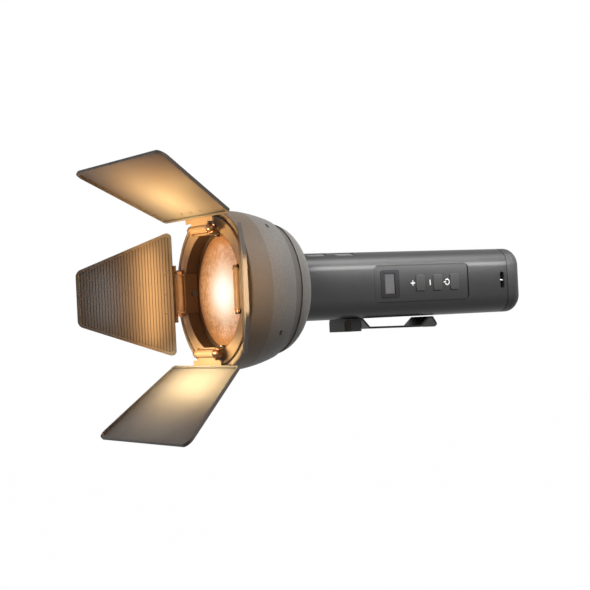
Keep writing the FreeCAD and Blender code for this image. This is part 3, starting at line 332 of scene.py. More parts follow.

# %% [markdown]
# ## Coats of the ring and the hinges
# The ring has a hammered coat, whose dimples are a pattern of cells, and the brackets and hinge strips have
# a satin one. The warm brown of both is partly the lamp's glow painted into their colour; lamps add the
# rest. Below the ring's face both get painted shade, nearly black. A second material would need faces of its
# own, so the painted shade follows their place on the lamp: the distance from the beam's axis for the ring's
# bore, and for the hinges also how far back they reach.

# %% Coats of the ring and the hinges
ring_bore_r = 45.5 * mm
bore_shade_step = (0.1 * mm, 0.5 * mm)
inner_shade_step = (-1.2 * mm, -0.8 * mm)
behind_shade_step = (-2.4 * mm, -2.0 * mm)
hammer_height = 0.08 * mm
hinge_grain_height = 0.03 * mm


def ring_coat():
    """The ring has a hammered coat, its face painted with the lamp's warm glow and its bore nearly black with
    painted shade.
    """
    coat = Finish("ring_coat", (0.26, 0.18, 0.11), 0.5, Metallic=0.1, Specular_IOR_Level=0.35)
    tone = coat.noise(240.0, 4.0)
    # The face's warm brown is painted glow of the lamp.
    face = coat.blend(tone, (0.22, 0.15, 0.09), (0.31, 0.22, 0.14))
    # Painted shade turns the bore nearly black.
    painted_bore_shade = coat.radius().ramp(ring_bore_r + bore_shade_step[0], ring_bore_r + bore_shade_step[1], 1.0, 0.0)
    coat.set("Base Color", coat.blend(painted_bore_shade, face, (0.05, 0.028, 0.014)))
    coat.set("Roughness", tone.ramp(0.3, 0.7, 0.46, 0.6))
    coat.bump(coat.cells(900.0), hammer_height, 0.5)
    return coat


def hinge_coat():
    """Satin coat of brackets and hinge strips, painted with the lamp's warm glow and with dark shade below the
    ring's bore.
    """
    coat = Finish("hinge_coat", (0.19, 0.13, 0.075), 0.5, Metallic=0.15, Specular_IOR_Level=0.3)
    tone = coat.noise(160.0, 3.0)
    grain = coat.noise(1800.0, 2.0)
    # The face's warm brown is painted glow of the lamp.
    face = coat.blend(tone, (0.165, 0.112, 0.064), (0.22, 0.15, 0.088))
    # Painted shade darkens the hinges below the ring's bore and behind the mouth.
    inner = coat.radius().ramp(ring_bore_r + inner_shade_step[0], ring_bore_r + inner_shade_step[1], 1.0, 0.0)
    painted_shade_behind = coat.along("X").ramp(mouth_x + behind_shade_step[0], mouth_x + behind_shade_step[1])
    coat.set("Base Color", coat.blend(inner * painted_shade_behind, face, (0.07, 0.04, 0.02)))
    coat.set("Roughness", grain.ramp(0.3, 0.7, 0.44, 0.56))
    coat.bump(grain, hinge_grain_height, 0.4)
    return coat


print("the ring's bore is", round(2 * ring_bore_r / mm, 1), "mm across")

# %% [markdown]
# ## Bare metals
# Screws, pins, heat sink and strap bar are bare or plated metal. On a metal the colour is that of its
# reflection, and what tells one from the other is how sharp this reflection is, so a fine pattern of marks
# varies the roughness more than the colour.

# %% Metals
metal_mark_height = 0.02 * mm
mirror_ripple_height = 0.05 * mm
darker_factor = 0.82


def dark_nickel():
    """Polished black nickel of the pins' domed heads."""
    metal = Finish("dark_nickel", (0.17, 0.09, 0.045), 0.22, Metallic=1.0)
    marks = metal.noise(700.0, 3.0)
    metal.set("Base Color", metal.blend(marks, (0.14, 0.072, 0.034), (0.22, 0.12, 0.065)))
    metal.set("Roughness", marks.ramp(0.3, 0.7, 0.18, 0.3))
    metal.bump(marks, metal_mark_height, 0.3)
    return metal


def bare_metal(name, colour, roughness):
    """A plain metal with faint marks from tool and hand."""
    metal = Finish(name, colour, roughness, Metallic=1.0)
    marks = metal.noise(500.0, 4.0)
    darker = tuple(channel * darker_factor for channel in colour)
    metal.set("Base Color", metal.blend(marks, darker, colour))
    metal.set("Roughness", marks.ramp(0.3, 0.7, roughness - 0.06, roughness + 0.1))
    metal.bump(marks, metal_mark_height, 0.3)
    return metal


def bright_mirror():
    """The reflector behind the lens: polished metal with a faint ripple."""
    mirror = Finish("bright_mirror", (0.9, 0.9, 0.9), 0.06, Metallic=1.0)
    ripple = mirror.noise(120.0, 2.0)
    mirror.set("Roughness", ripple.ramp(0.3, 0.7, 0.04, 0.1))
    mirror.bump(ripple, mirror_ripple_height, 0.2)
    return mirror


print("metals have marks of", round(metal_mark_height / mm, 3), "mm")

# %% [markdown]
# ## Control panel and display
# The panel is a moulded plate in a pocket of the tube, and a thin dark line of painted shadow runs round it,
# where its gap to the tube lies. The display sits behind a smoked pane with a printed black border. Both
# patterns follow an outline, so they are built from the box of the piece: the distance from its middle,
# along the tube and up, makes a rectangle.

# %% Panel and window
panel_shadow_line = 1.0 * mm
shadow_line_inset_share = 0.75
shadow_line_blur_share = 0.25
window_field_half = (4.25 * mm, 7.5 * mm)
window_blur = 0.1 * mm
window_fade = 8 * mm


def inside_rectangle(finish, middle, half, blur):
    """One within half a length along the tube and half a height of the middle, zero outside."""
    x = (finish.along("X") - middle.x).size()
    z = (finish.along("Z") - middle.z).size()
    inside_x = x.ramp(half[0] - blur, half[0] + blur, 1.0, 0.0)
    inside_z = z.ramp(half[1] - blur, half[1] + blur, 1.0, 0.0)
    return inside_x * inside_z


def panel_skin():
    """The control panel's plastic, with the shadow of its gap painted dark along its outline where it meets the
    tube.
    """
    skin = grained_skin("panel_plastic", (0.03, 0.03, 0.031), 0.48, 2400.0)
    low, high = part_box("control_panel")
    inset = shadow_line_inset_share * panel_shadow_line
    half = ((high.x - low.x) / 2 - inset, (high.z - low.z) / 2 - inset)
    inside = inside_rectangle(skin, (low + high) / 2, half, shadow_line_blur_share * panel_shadow_line)
    face = skin.blend(skin.noise(45.0, 3.0), (0.021, 0.021, 0.022), (0.029, 0.029, 0.03))
    # The near-black outline is the painted shadow of the gap round the panel.
    skin.set("Base Color", skin.blend(inside, (0.008, 0.008, 0.008), face))
    return skin


def smoked_window():
    """The display's smoked pane: a black frame round a paler field, all behind one glossy skin."""
    pane = Finish("smoked_window", (0.03, 0.03, 0.032), 0.12, Specular_IOR_Level=0.2)
    low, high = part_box("display_window")
    middle = (low + high) / 2
    fade = pane.along("Z").ramp(middle.z - window_fade, middle.z + window_fade, 1.0, 0.0)
    field = pane.blend(fade, (0.065, 0.065, 0.068), (0.115, 0.115, 0.118))
    inside = inside_rectangle(pane, middle, window_field_half, window_blur)
    pane.set("Base Color", pane.blend(inside, (0.022, 0.022, 0.024), field))
    pane.set("Roughness", pane.noise(300.0, 2.0).ramp(0.3, 0.7, 0.1, 0.2))
    return pane


print("the display's field is", round(2 * window_field_half[0] / mm, 1), "mm wide")

# %% [markdown]
# ## The lit lens
# The lens is pressed glass with a pebbled face, and the LED behind it is on. Real glass with a lamp in it
# needs many light paths for the same look. Here the glass glows by itself: a white core where the LED shows,
# a pale halo and an orange-brown rim, with dark pits between the pebbles away from the core.

# %% Lit lens
hot_side = 9 * mm
hot_drop = 2 * mm
pebble_height = 0.2 * mm
pit_share = 0.45
lens_glow = 0.98


def lit_lens():
    """Pressed glass lit from behind: white where the LED shows, orange-brown towards its edge."""
    glass = Finish("lit_lens", (0.2, 0.11, 0.05), 0.2, Coat_Weight=0.25, Coat_Roughness=0.1)
    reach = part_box("lens")[1].z - beam_height
    rim_share = glass.radius() / reach
    y = glass.along("Y") + hot_side
    z = glass.along("Z") - beam_height + hot_drop
    core_share = (y * y + z * z).root() / reach
    pebbles = glass.cells(620.0)
    mottle = glass.noise(260.0, 4.0, 0.7).ramp(0.35, 0.65)
    amber = glass.blend(mottle, (0.42, 0.18, 0.065), (0.7, 0.37, 0.165))
    edge = glass.blend(rim_share.ramp(0.65, 0.98), amber, (0.26, 0.09, 0.03))
    pale = glass.blend(core_share.ramp(0.12, 0.72), (1.0, 0.84, 0.62), edge)
    glow = glass.blend(core_share.ramp(0.05, 0.42), (1.0, 0.99, 0.95), pale)
    pits = pebbles.ramp(0.15, 0.6) * rim_share.ramp(0.35, 0.8) * core_share.ramp(0.3, 0.6) * pit_share
    glass.set("Emission Color", glass.blend(pits, glow, (0.16, 0.06, 0.02)))
    glass.set("Emission Strength", lens_glow)
    glass.bump(pebbles, pebble_height, 0.5)
    return glass


print("the white core lies", round(hot_side / mm, 1), "mm beside the lens's middle")

# %% [markdown]
# ## Mesh, boards and ink
# Three small finishes are left. The cooling slots have a woven mesh behind them: two sine waves, one along
# the tube and one across, cross like its wires. A circuit board shows its tracks as a soft-edged noise, and
# the printed signs are white ink with a little wear.

# %% Mesh, boards and ink
weave_pitch = 0.7 * mm
weave_height = 0.1 * mm
track_height = 0.05 * mm


def woven_mesh():
    """Fine steel mesh of the cooling slots: wires that cross over and under each other."""
    mesh = Finish("woven_mesh", (0.2, 0.2, 0.205), 0.5, Metallic=0.4)
    across = (mesh.along("X") * (math.pi / weave_pitch)).sine().size()
    along = (mesh.along("Y") * (math.pi / weave_pitch)).sine().size()
    weave = across * along
    mesh.set("Base Color", mesh.blend(weave.ramp(0.1, 0.7), (0.06, 0.06, 0.062), (0.3, 0.3, 0.31)))
    mesh.bump(weave, weave_height, 0.6)
    return mesh


def circuit_board():
    """Green board with raised tracks."""
    board = Finish("circuit_board", (0.02, 0.1, 0.045), 0.4)
    lines = board.noise(260.0, 2.0)
    board.set("Base Color", board.blend(lines.ramp(0.45, 0.55), (0.015, 0.08, 0.035), (0.03, 0.15, 0.07)))
    board.bump(lines, track_height, 0.4)
    return board


def printed_white():
    """White ink of the signs, slightly worn."""
    ink = Finish("printed_white", (0.82, 0.82, 0.82), 0.5)
    wear = ink.noise(900.0, 3.0)
    ink.set("Base Color", ink.blend(wear, (0.74, 0.74, 0.74), (0.86, 0.86, 0.86)))
    ink.set("Roughness", wear.ramp(0.3, 0.7, 0.42, 0.58))
    return ink


print("the mesh has a wire every", round(weave_pitch / mm, 2), "mm")

# %% [markdown]
# ## Dressing the pieces
# Only the material slots of the model's nodes change, so one table from the record's slot names to finishes
# dresses the whole lamp.

# %% Finishes by slot
finishes = {
    "tube_shell": anodised_tube(),
    "bell": head_paint(),
    "end_cap": moulded_black("cap_plastic", (0.032, 0.032, 0.034), 0.46),
    "panel": panel_skin(),
    "window": smoked_window(),
    "display": moulded_black("display_glass", (0.02, 0.02, 0.022), 0.3),
    "button": moulded_black("key_plastic", (0.034, 0.034, 0.035), 0.42, 2600.0),
    "circuit_board": circuit_board(),
    "electronics": moulded_black("component_plastic", (0.03, 0.03, 0.03), 0.5),
    "switch": bare_metal("switch_steel", (0.55, 0.55, 0.55), 0.35),
    "cell": moulded_black("cell_sleeve", (0.03, 0.09, 0.2), 0.3),
    "cradle": moulded_black("cradle_plastic", (0.05, 0.05, 0.05), 0.55),
    "foot": moulded_black("foot_coat", (0.022, 0.022, 0.023), 0.38, 2600.0),
    "dark_screw": bare_metal("dark_screw", (0.09, 0.088, 0.085), 0.36),
    "steel": bare_metal("plain_steel", (0.5, 0.5, 0.5), 0.32),
    "clip_steel": moulded_black("clip_coat", (0.028, 0.028, 0.029), 0.34, 2200.0),
    "reflector": bright_mirror(),
    "sink": bare_metal("sink_aluminium", (0.6, 0.6, 0.61), 0.42),
    "led_board": bare_metal("board_aluminium", (0.75, 0.75, 0.74), 0.5),
    "phosphor": moulded_black("phosphor", (0.8, 0.55, 0.12), 0.5),
    "holder": moulded_black("holder_plastic", (0.6, 0.6, 0.58), 0.5),
    "lens_glass": lit_lens(),
    "lens_ring": moulded_black("lens_ring_coat", (0.05, 0.035, 0.025), 0.4),
    "fan": moulded_black("fan_plastic", (0.02, 0.02, 0.02), 0.45),
    "ring": ring_coat(),
    "hinge": hinge_coat(),
    "pin": dark_nickel(),
    "door": door_coat(),
    "strap_bar": bare_metal("strap_bar_steel", (0.7, 0.7, 0.7), 0.25),
    "vent_mesh": woven_mesh(),
    "port": bare_metal("port_steel", (0.55, 0.55, 0.56), 0.3),
}
slot_of = {part["node"]: part["material_slot"] for part in frame["record"]["subparts"]}
for name in node_names:
    mesh = frame["nodes"][name].data
    mesh.materials.clear()
    mesh.materials.append(finishes[slot_of[name]].material)
print(len(finishes), "finishes on", len(slot_of), "pieces")

# %% [markdown]
# ## Ribs on the barn doors
# The inner sheet of both side doors carries fine dark ribs, which break up the lamp's glare. They all follow
# one rule, so Geometry Nodes lay them: a line of points from the hinge to the free edge, one rounded bar on
# each, as long as the door is wide there. The sizes are inputs of the tree, so one tree serves both doors.

# %% A tree that lays ribs on a tapering sheet
rib_inputs = ("Count", "Pitch", "Hinge Width", "Taper", "Rib Radius", "Rib Height Share")
rib_sides = 8


def rib_tree(material):
    """Bars along Y at even steps along X. They start at Hinge Width and change by Taper with X."""
    tree = bpy.data.node_groups.new("tapered_ribs", "GeometryNodeTree")
    tree.interface.new_socket("Geometry", in_out="INPUT", socket_type="NodeSocketGeometry")
    tree.interface.new_socket("Geometry", in_out="OUTPUT", socket_type="NodeSocketGeometry")
    sockets = {}
    for name in rib_inputs:
        kind = "NodeSocketInt" if name == "Count" else "NodeSocketFloat"
        sockets[name] = tree.interface.new_socket(name, in_out="INPUT", socket_type=kind).identifier

    def node(kind, settings=None, inputs=None, output=0):
        made = tree.nodes.new(kind)
        for key, value in (settings or {}).items():
            setattr(made, key, value)
        for key, value in (inputs or {}).items():
            if isinstance(value, bpy.types.NodeSocket):
                tree.links.new(value, made.inputs[key])
            else:
                made.inputs[key].default_value = value
        return made.outputs[output]

    def maths(operation, first, second):
        return node("ShaderNodeMath", {"operation": operation}, {0: first, 1: second})

    entry = tree.nodes.new("NodeGroupInput")
    given = {name: entry.outputs[name] for name in rib_inputs}
    step = node("ShaderNodeCombineXYZ", None, {0: given["Pitch"]})
    line = node("GeometryNodeMeshLine", None, {"Count": given["Count"], "Offset": step})
    travel = maths("MULTIPLY", node("GeometryNodeInputIndex"), given["Pitch"])
    width = maths("ADD", given["Hinge Width"], maths("MULTIPLY", travel, given["Taper"]))
    round_bar = {"Vertices": rib_sides, "Radius": given["Rib Radius"], "Depth": 1.0}
    bar = node("GeometryNodeMeshCylinder", None, round_bar)
    across = node("GeometryNodeTransform", None, {"Geometry": bar, "Rotation": (math.pi / 2, 0.0, 0.0)})
    flat = node("ShaderNodeCombineXYZ", None, {0: 1.0, 1: width, 2: given["Rib Height Share"]})
    laid = node("GeometryNodeInstanceOnPoints", None, {"Points": line, "Instance": across, "Scale": flat})
    real = node("GeometryNodeRealizeInstances", None, {"Geometry": laid})
    dressed = node("GeometryNodeSetMaterial", None, {"Geometry": real, "Material": material})
    leave = tree.nodes.new("NodeGroupOutput")
    tree.links.new(dressed, leave.inputs["Geometry"])
    return tree, sockets


ribs_by_nodes, rib_sockets = rib_tree(rib_painted_shade().material)
print("the rib tree has", len(ribs_by_nodes.nodes), "nodes")

# %% [markdown]
# A tree works as a modifier, and the library keeps plain meshes. So the tree runs once on an empty mesh, and
# what it makes is kept as a mesh object of its own.

# %% From a tree to a plain mesh


def from_tree(name, tree, sockets, values):
    """Run a tree on an empty mesh and keep its result as a plain mesh object."""
    carrier = bpy.data.objects.new(name + "_carrier", bpy.data.meshes.new(name + "_seed"))
    bpy.context.scene.collection.objects.link(carrier)
    modifier = carrier.modifiers.new("tree", "NODES")
    modifier.node_group = tree
    for key, value in values.items():
        modifier[sockets[key]] = value
    bpy.context.view_layer.update()
    made = carrier.evaluated_get(bpy.context.evaluated_depsgraph_get())
    mesh = bpy.data.meshes.new_from_object(made)
    bpy.data.objects.remove(carrier)
    piece = bpy.data.objects.new(name, mesh)
    bpy.context.scene.collection.objects.link(piece)
    return piece


print("a tree's result is kept as a plain mesh")

# %% [markdown]
# The ribs are laid flat, then carried to each door by one matrix. Its columns are the way out along the
# door, the hinge line and the way outwards, all worked out from the joint and the angle at which the door
# stands open.

# %% Where each door stands
wide_door = {"length": 76.4 * mm, "hinge_width": 105.7 * mm, "free_width": 153.5 * mm,
             "reach": 7.1 * mm, "offset": 6.4 * mm}
narrow_door = {"length": 76.8 * mm, "hinge_width": 97.4 * mm, "free_width": 42.4 * mm,
               "reach": 6.2 * mm, "offset": 3.0 * mm}
doors = {"top": (wide_door, 31.8), "bottom": (wide_door, 42.4),
         "left": (narrow_door, 63.8), "right": (narrow_door, 38.0)}
door_thickness = 2.6 * mm
door_floor = 1.0 * mm
door_rim = 1.8 * mm
door_free_rim = 2.5 * mm


def door_matrix(door, angle_deg):
    """From a door lying flat, hinge line on Y and free edge towards X, to where it stands."""
    joint = joints[door + "_door_hinge"]
    pin = Vector(joint["pos_m"])
    line = Vector(joint["axis"])
    outwards = Vector((0, pin.y, pin.z - beam_height)).normalized()
    angle = math.radians(angle_deg)
    ahead = Vector((-1, 0, 0))
    along = ahead * math.cos(angle) + outwards * math.sin(angle)
    up = -ahead * math.sin(angle) + outwards * math.cos(angle)
    columns = Matrix((along, -line, up)).transposed().to_4x4()
    return Matrix.Translation(pin) @ columns


print(len(doors), "doors stand open by", [angle_deg for size, angle_deg in doors.values()], "degrees")

# %% [markdown]
# Each side door takes as many ribs as fit between its rims, and what is left over is shared by both ends of
# the row. The ribs lie on the tray's floor, half sunk in the sheet, and ride on the door's body.

# %% Lay the ribs on the side doors
ribbed_doors = ("left", "right")
rib_pitch = 2.35 * mm
rib_radius = 0.36 * mm
rib_height_share = 0.35
rib_margin = 0.5 * mm


def rib_values(size):
    """How many ribs a door takes, where the first one lies and the tree's inputs for them."""
    run = size["length"] - door_rim - door_free_rim - 2 * rib_margin
    taper = (size["free_width"] - size["hinge_width"]) / size["length"]
    side = door_rim * math.hypot(1.0, taper / 2) + rib_margin
    count = int(run / rib_pitch) + 1
    start = (run - (count - 1) * rib_pitch) / 2 + door_rim + rib_margin
    values = {"Count": count, "Pitch": rib_pitch, "Taper": taper, "Rib Radius": rib_radius,
              "Rib Height Share": rib_height_share,
              "Hinge Width": size["hinge_width"] + taper * start - 2 * side}
    return start, values


for door in ribbed_doors:
    size, angle_deg = doors[door]
    start, values = rib_values(size)
    ribs = from_tree(door + "_door_ribs", ribs_by_nodes, rib_sockets, values)
    floor_height = size["offset"] + door_thickness / 2 - door_floor
    lift = Matrix.Translation((size["reach"] + start, 0, floor_height))
    ribs.data.transform(door_matrix(door, angle_deg) @ lift)
    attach(ribs, door + "_leaf")
    print(ribs.name, values["Count"], "ribs")

# %% [markdown]
# ## Printed signs
# A plus, a minus and the usual on-off sign stand beside the three keys. Ink is only a few hundredths of a
# millimetre thick, so each sign is a flat mesh just proud of the panel. Bars are flat boxes, and the ring of
# the on-off sign is a row of small plates round a circle that leaves a gap for its bar.

# %% Shapes of ink
panel_low, panel_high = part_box("control_panel")
ink_height = 0.04 * mm
sign_height = 4.2 * mm
stroke = 0.65 * mm
ring_gap_deg = 70.0
ring_plates = 28


def ink_bar(shape, x, z, half_x, half_z):
    """A flat box of ink on the panel's face."""
    y = panel_low.y
    made = bmesh.ops.create_cube(shape, size=1.0)["verts"]
    for vertex in made:
        vertex.co = Vector((x + vertex.co.x * 2 * half_x, y + (vertex.co.y - 0.5) * ink_height,
                            z + vertex.co.z * 2 * half_z))


def ink_plate(shape, corners):
    """A flat plate of ink between four corners, given along the tube and up."""
    front = [shape.verts.new((x, panel_low.y - ink_height, z)) for x, z in corners]
    back = [shape.verts.new((x, panel_low.y, z)) for x, z in corners]
    shape.faces.new(front)
    shape.faces.new(back[::-1])
    for a in range(4):
        b = (a + 1) % 4
        shape.faces.new((front[b], front[a], back[a], back[b]))


def ink_ring(shape, x, z, radius):
    """A ring of ink with a gap towards minus X, where the on-off sign has its bar."""
    span = math.radians(360 - ring_gap_deg)
    inner = radius - stroke / 2
    outer = radius + stroke / 2
    for i in range(ring_plates):
        start = math.pi + math.radians(ring_gap_deg) / 2 + span * i / ring_plates
        end = math.pi + math.radians(ring_gap_deg) / 2 + span * (i + 1) / ring_plates
        turns = ((inner, start), (outer, start), (outer, end), (inner, end))
        ink_plate(shape, [(x + r * math.cos(turn), z + r * math.sin(turn)) for r, turn in turns])


print("ink stands", round(ink_height / mm, 3), "mm proud of the panel")

# %% [markdown]
# Each sign is drawn on the head's side of its key, at the height of the beam's axis. A font would be one
# more file for a few strokes, so the same shapes of ink make all three signs.

# %% Signs beside the keys
sign_step = 7.0 * mm
power_bar_share = 0.28
ink = printed_white()


def plus_sign(shape, x, z):
    ink_bar(shape, x, z, sign_height / 2, stroke / 2)
    ink_bar(shape, x, z, stroke / 2, sign_height / 2)


def minus_sign(shape, x, z):
    ink_bar(shape, x, z, stroke / 2, sign_height / 2)


def power_sign(shape, x, z):
    ink_ring(shape, x, z, sign_height / 2)
    ink_bar(shape, x - sign_height / 2, z, sign_height * power_bar_share, stroke / 2)


for key, draw in (("plus", plus_sign), ("minus", minus_sign), ("power", power_sign)):
    key_low, key_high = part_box(key + "_button")
    shape = bmesh.new()
    draw(shape, (key_low.x + key_high.x) / 2 - sign_step, beam_height)
    bmesh.ops.recalc_face_normals(shape, faces=shape.faces)
    mesh = bpy.data.meshes.new(key + "_sign")
    shape.to_mesh(mesh)
    shape.free()
    sign = bpy.data.objects.new(key + "_sign", mesh)
    bpy.context.scene.collection.objects.link(sign)
    mesh.materials.append(ink.material)
    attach(sign, "lamp")
    print(sign.name, "printed with", len(mesh.polygons), "faces")

# %% [markdown]
# ## Floor and daylight
# The lamp hangs in a white studio. White walls would also light it from all sides and wash out its colours.
# A Light Path node tells which rays come from the camera, a reflection or glass, so only these see white.

# %% Rays that see white


def seen_ray(tree):
    """One where a ray comes from the camera, a reflection or glass, else zero."""
    path = tree.nodes.new("ShaderNodeLightPath")
    total = path.outputs["Is Camera Ray"]
    for name in ("Is Glossy Ray", "Is Transmission Ray"):
        joined = tree.nodes.new("ShaderNodeMath")
        joined.operation = "MAXIMUM"
        tree.links.new(total, joined.inputs[0])
        tree.links.new(path.outputs[name], joined.inputs[1])
        total = joined.outputs[0]
    return total


print("camera, glossy and transmission rays see white")

# %% [markdown]
# The floor is one large square below the lamp. Its material mixes two shaders: a glow that makes it nearly
# white where such a ray meets it, and a small share of plain grey, which takes the lamp's soft shadow.

# %% Floor
floor_drop = 0.30
floor_half = 6.0
floor_grey = 0.16
background_share = 0.88
background_glow = 1.12


def pale_floor():
    """A grey floor that glows white where the camera looks at it, all but the share that takes shadow."""
    material = bpy.data.materials.new("pale_floor")
    material.use_nodes = True
    tree = material.node_tree
    shader = tree.nodes["Principled BSDF"]
    shader.inputs["Base Color"].default_value = (floor_grey, floor_grey, floor_grey, 1)
    shader.inputs["Roughness"].default_value = 1.0
    glow = tree.nodes.new("ShaderNodeEmission")
    glow.inputs["Strength"].default_value = background_glow
    mix = tree.nodes.new("ShaderNodeMixShader")
    share = tree.nodes.new("ShaderNodeMath")
    share.operation = "MULTIPLY"
    share.inputs[1].default_value = background_share
    tree.links.new(seen_ray(tree), share.inputs[0])
    tree.links.new(share.outputs[0], mix.inputs[0])
    tree.links.new(shader.outputs[0], mix.inputs[1])
    tree.links.new(glow.outputs[0], mix.inputs[2])
    tree.links.new(mix.outputs[0], tree.nodes["Material Output"].inputs["Surface"])
    return material


def make_floor():
    """One wide square below the lamp."""
    corners = [(x * floor_half, y * floor_half, cad_low.z - floor_drop)
               for x, y in ((-1, -1), (1, -1), (1, 1), (-1, 1))]
    mesh = bpy.data.meshes.new("floor")
    mesh.from_pydata(corners, [], [(0, 1, 2, 3)])
    floor = bpy.data.objects.new("floor", mesh)
    bpy.context.scene.collection.objects.link(floor)
    mesh.materials.append(pale_floor())


make_floor()
print("the floor lies", floor_drop, "m below the lamp")

# %% [markdown]
# The world round the lamp is white in the same way. As a light it is dim, which keeps the shadows between
# the doors deep.

# %% World
ambient_level = 0.065


def make_world():
    """White to the camera and in reflections, dim as a light."""
    world = bpy.data.worlds.new("studio")
    bpy.context.scene.world = world
    world.use_nodes = True
    tree = world.node_tree
    light = tree.nodes["Background"]
    light.inputs["Color"].default_value = (1, 1, 1, 1)
    light.inputs["Strength"].default_value = ambient_level
    white = tree.nodes.new("ShaderNodeBackground")
    white.inputs["Color"].default_value = (1, 1, 1, 1)
    white.inputs["Strength"].default_value = 1.0
    mix = tree.nodes.new("ShaderNodeMixShader")
    tree.links.new(seen_ray(tree), mix.inputs[0])
    tree.links.new(light.outputs[0], mix.inputs[1])
    tree.links.new(white.outputs[0], mix.inputs[2])
    tree.links.new(mix.outputs[0], tree.nodes["World Output"].inputs["Surface"])


make_world()
print("the world lights the lamp at", ambient_level, "of full white")

# %% [markdown]
# ## Lights of the studio
# Each light is a plain panel that the camera doesn't see. A long soft box hangs over the handle and draws
# the satin band along its upper edge, and a large panel at the side lights the head. A thin strip on each
# side of the handle runs close to the tube and gives its faces their soft gradient.

# %% Studio lights
daylight = (1, 0.99, 0.97)
handle_middle = Vector((0.04, 0, beam_height))
head_middle = Vector((mouth_x, 0, beam_height))
soft_box_way = Vector((0.45, -0.5, 0.74)).normalized()
soft_box_distance = 1.1
soft_box_size = (1.2, 0.4)
soft_box_power = 3.4
side_place = (0.7, -0.9, 1.35)
side_target = (-0.05, 0, beam_height)
side_size = (0.6, 0.6)
side_power = 17.0
strip_size = (190 * mm, 8 * mm)
strip_x = 62 * mm
strip_y = 45 * mm
strip_rise = 20 * mm
strip_power = 0.1


def area_light(name, place, towards, size, power, colour, round_shape=False, spread_deg=180.0):
    """A light panel at a place, turned towards a point and hidden from the camera."""
    data = bpy.data.lights.new(name, "AREA")
    data.shape = "DISK" if round_shape else "RECTANGLE"
    data.size = size[0]
    data.size_y = size[1]
    data.energy = power
    data.color = colour
    data.spread = math.radians(spread_deg)
    lamp = bpy.data.objects.new(name, data)
    lamp.location = place
    lamp.rotation_euler = (Vector(towards) - Vector(place)).to_track_quat("-Z", "Y").to_euler()
    lamp.visible_camera = False
    bpy.context.scene.collection.objects.link(lamp)
    return lamp


soft_box_place = handle_middle + soft_box_way * soft_box_distance
area_light("soft_box", soft_box_place, handle_middle, soft_box_size, soft_box_power, daylight)
area_light("side_fill", side_place, side_target, side_size, side_power, daylight)
for name, side in (("near_strip", -1), ("far_strip", 1)):
    strip_place = Vector((strip_x, side * strip_y, beam_height + strip_rise))
    area_light(name, strip_place, strip_place - Vector((0, side, 0)), strip_size, strip_power, daylight)
print("the soft box hangs", soft_box_distance, "m from the handle")

# %% [markdown]
# ## The lamp's own light
# A warm disc in front of the lens shines on the doors, and a weaker one faces it and stands for what the
# doors throw back on the ring. A small warm panel in front of the head lends its paint the same colour.

# %% The lamp's beam
warm_way = Vector((-0.4, -0.9, 0.3)).normalized()
warm_distance = 0.35
warm_size = (0.15, 0.15)
warm_power = 0.2
beam_colour = (1.0, 0.5, 0.2)
lens_gap = 3 * mm
beam_size = (60 * mm, 60 * mm)
beam_power = 0.23
bounce_gap = 60 * mm
bounce_size = (50 * mm, 50 * mm)
bounce_power = 0.04

warm_place = head_middle + warm_way * warm_distance
area_light("warm_fill", warm_place, head_middle, warm_size, warm_power, beam_colour)
lens_front = Vector((mouth_x - lens_gap, 0, beam_height))
ahead_of_lens = lens_front + Vector((-1, 0, 0))
area_light("lamp_beam", lens_front, ahead_of_lens, beam_size, beam_power, beam_colour, round_shape=True)
bounce_place = Vector((mouth_x - bounce_gap, 0, beam_height))
area_light("door_bounce", bounce_place, lens_front, bounce_size, bounce_power, beam_colour, round_shape=True)
print("the beam starts", round(lens_gap / mm, 1), "mm ahead of the mouth")

# %% [markdown]
# ## Pools of light on the doors
# A real lamp throws an uneven beam, and each door shows a pool of it: white-hot near the hinge, orange
# around it, and plain grey towards the free edge. A light behind glass would need many samples for such
# pools, so each one is made by a small panel close to the door's inner face, placed in the door's own
# directions: along the door, across it and the rise above it.

# %% The pool of light on each door
pools = {
    "top_hot": {"door": "top", "along": 28 * mm, "across": -7 * mm, "rise": 40 * mm, "width": 34 * mm,
                "power": 0.1, "colour": (1.0, 0.68, 0.3)},
    "top_warm": {"door": "top", "along": 52 * mm, "across": 0, "rise": 34 * mm, "width": 110 * mm,
                 "power": 0.036, "colour": (1.0, 0.4, 0.07)},
    "bottom_hot": {"door": "bottom", "along": 20 * mm, "across": 0, "rise": 28 * mm, "width": 80 * mm,
                   "power": 0.13, "colour": (1.0, 0.76, 0.42)},
    "bottom_free": {"door": "bottom", "along": 64 * mm, "across": 0, "rise": 26 * mm, "width": 110 * mm,
                    "power": 0.006, "colour": (0.8, 0.92, 1.0)},
    "right_warm": {"door": "right", "along": 25 * mm, "across": 0, "rise": 15 * mm, "width": 76 * mm,
                   "power": 0.03, "colour": (1.0, 0.52, 0.18)},
    "right_free": {"door": "right", "along": 62 * mm, "across": 0, "rise": 22 * mm, "width": 40 * mm,
                   "power": 0.003, "colour": (0.72, 0.88, 1.0)},
    "left_warm": {"door": "left", "along": 28 * mm, "across": 0, "rise": 22 * mm, "width": 50 * mm,
                  "power": 0.06, "colour": (1.0, 0.66, 0.34)},
}
pool_depth = 10 * mm
pool_spread_deg = 130.0


def pool_light(name, door, along, across, rise, width, power, colour):
    """A lamp close to the door's inner face, its long side along the hinge."""
    matrix = door_matrix(door, doors[door][1])
    lamp = area_light(name + "_pool", (0, 0, 0), (0, 0, -1), (pool_depth, width), power, colour,
                      spread_deg=pool_spread_deg)
    turned_over = Matrix.Rotation(math.pi, 4, "X")
    lamp.matrix_world = matrix @ Matrix.Translation((along, across, -rise)) @ turned_over


for name, pool in pools.items():
    pool_light(name, **pool)
print(len(pools), "pools of light")

# %% [markdown]
# The near door stands almost edge-on to the camera, and its free edge catches the beam as a bright line. One
# more small panel, level with the door and just outside its edge, lights this line.

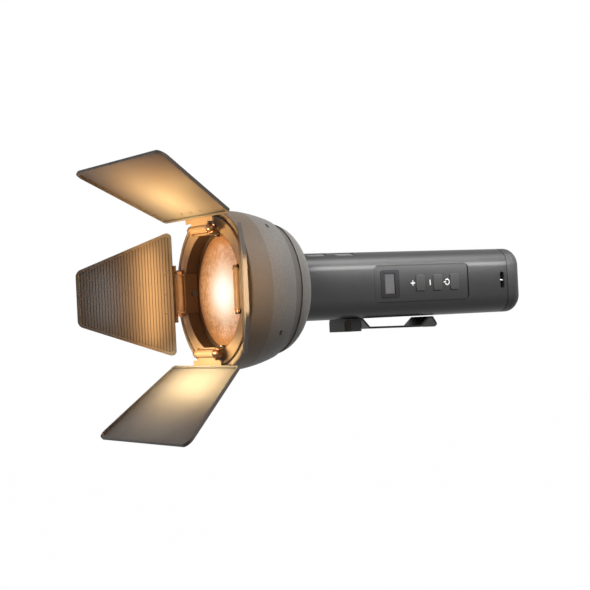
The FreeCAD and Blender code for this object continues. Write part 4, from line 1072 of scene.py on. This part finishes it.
# %% The near door's glowing edge
edge_gap = 20 * mm
edge_size = (6 * mm, 40 * mm)
edge_power = 0.005
edge_colour = (1.0, 0.68, 0.4)
edge_spread_deg = 40.0
near_size, near_angle_deg = doors["left"]
near_matrix = door_matrix("left", near_angle_deg)
edge_along = near_size["reach"] + near_size["length"]
edge_target = near_matrix @ Vector((edge_along, 0, near_size["offset"]))
edge_place = near_matrix @ Vector((edge_along + edge_gap, 0, near_size["offset"]))
area_light("near_edge", edge_place, edge_target, edge_size, edge_power, edge_colour,
           spread_deg=edge_spread_deg)
print("the near door's edge is", round(edge_along / mm, 1), "mm from its pin")

# %% [markdown]
# ## Camera
# The camera stands to the front left of the handle at the lamp's own height, with a long lens, and leans by
# a few degrees. Three angles turn it: azimuth round the lamp, elevation above it and roll round its own
# line of sight.

# %% Camera
camera_place = Vector((-0.6751, -1.08429, beam_height - 0.02585))
camera_azimuth_deg = -30.2
camera_elevation_deg = -0.94
camera_roll_deg = -2.8
camera_view_deg = 20.468
camera_clip = (0.01, 50.0)


def camera_turn():
    """The camera's right, up and back directions as the columns of a matrix."""
    azimuth = math.radians(camera_azimuth_deg)
    elevation = math.radians(camera_elevation_deg)
    roll = math.radians(camera_roll_deg)
    back = Vector((math.sin(azimuth) * math.cos(elevation), -math.cos(azimuth) * math.cos(elevation),
                   math.sin(elevation)))
    level = Vector((math.cos(azimuth), math.sin(azimuth), 0))
    upright = back.cross(level)
    right = level * math.cos(roll) + upright * math.sin(roll)
    up = back.cross(right)
    return Matrix((right, up, back)).transposed().to_4x4()


def make_camera():
    """A camera with a long lens, which becomes the scene's own."""
    data = bpy.data.cameras.new("camera")
    data.sensor_fit = "AUTO"
    data.angle = math.radians(camera_view_deg)
    data.clip_start = camera_clip[0]
    data.clip_end = camera_clip[1]
    camera = bpy.data.objects.new("camera", data)
    camera.matrix_world = Matrix.Translation(camera_place) @ camera_turn()
    bpy.context.scene.collection.objects.link(camera)
    bpy.context.scene.camera = camera


make_camera()
bpy.context.scene.view_settings.view_transform = "Standard"
print("the camera sees", camera_view_deg, "degrees")
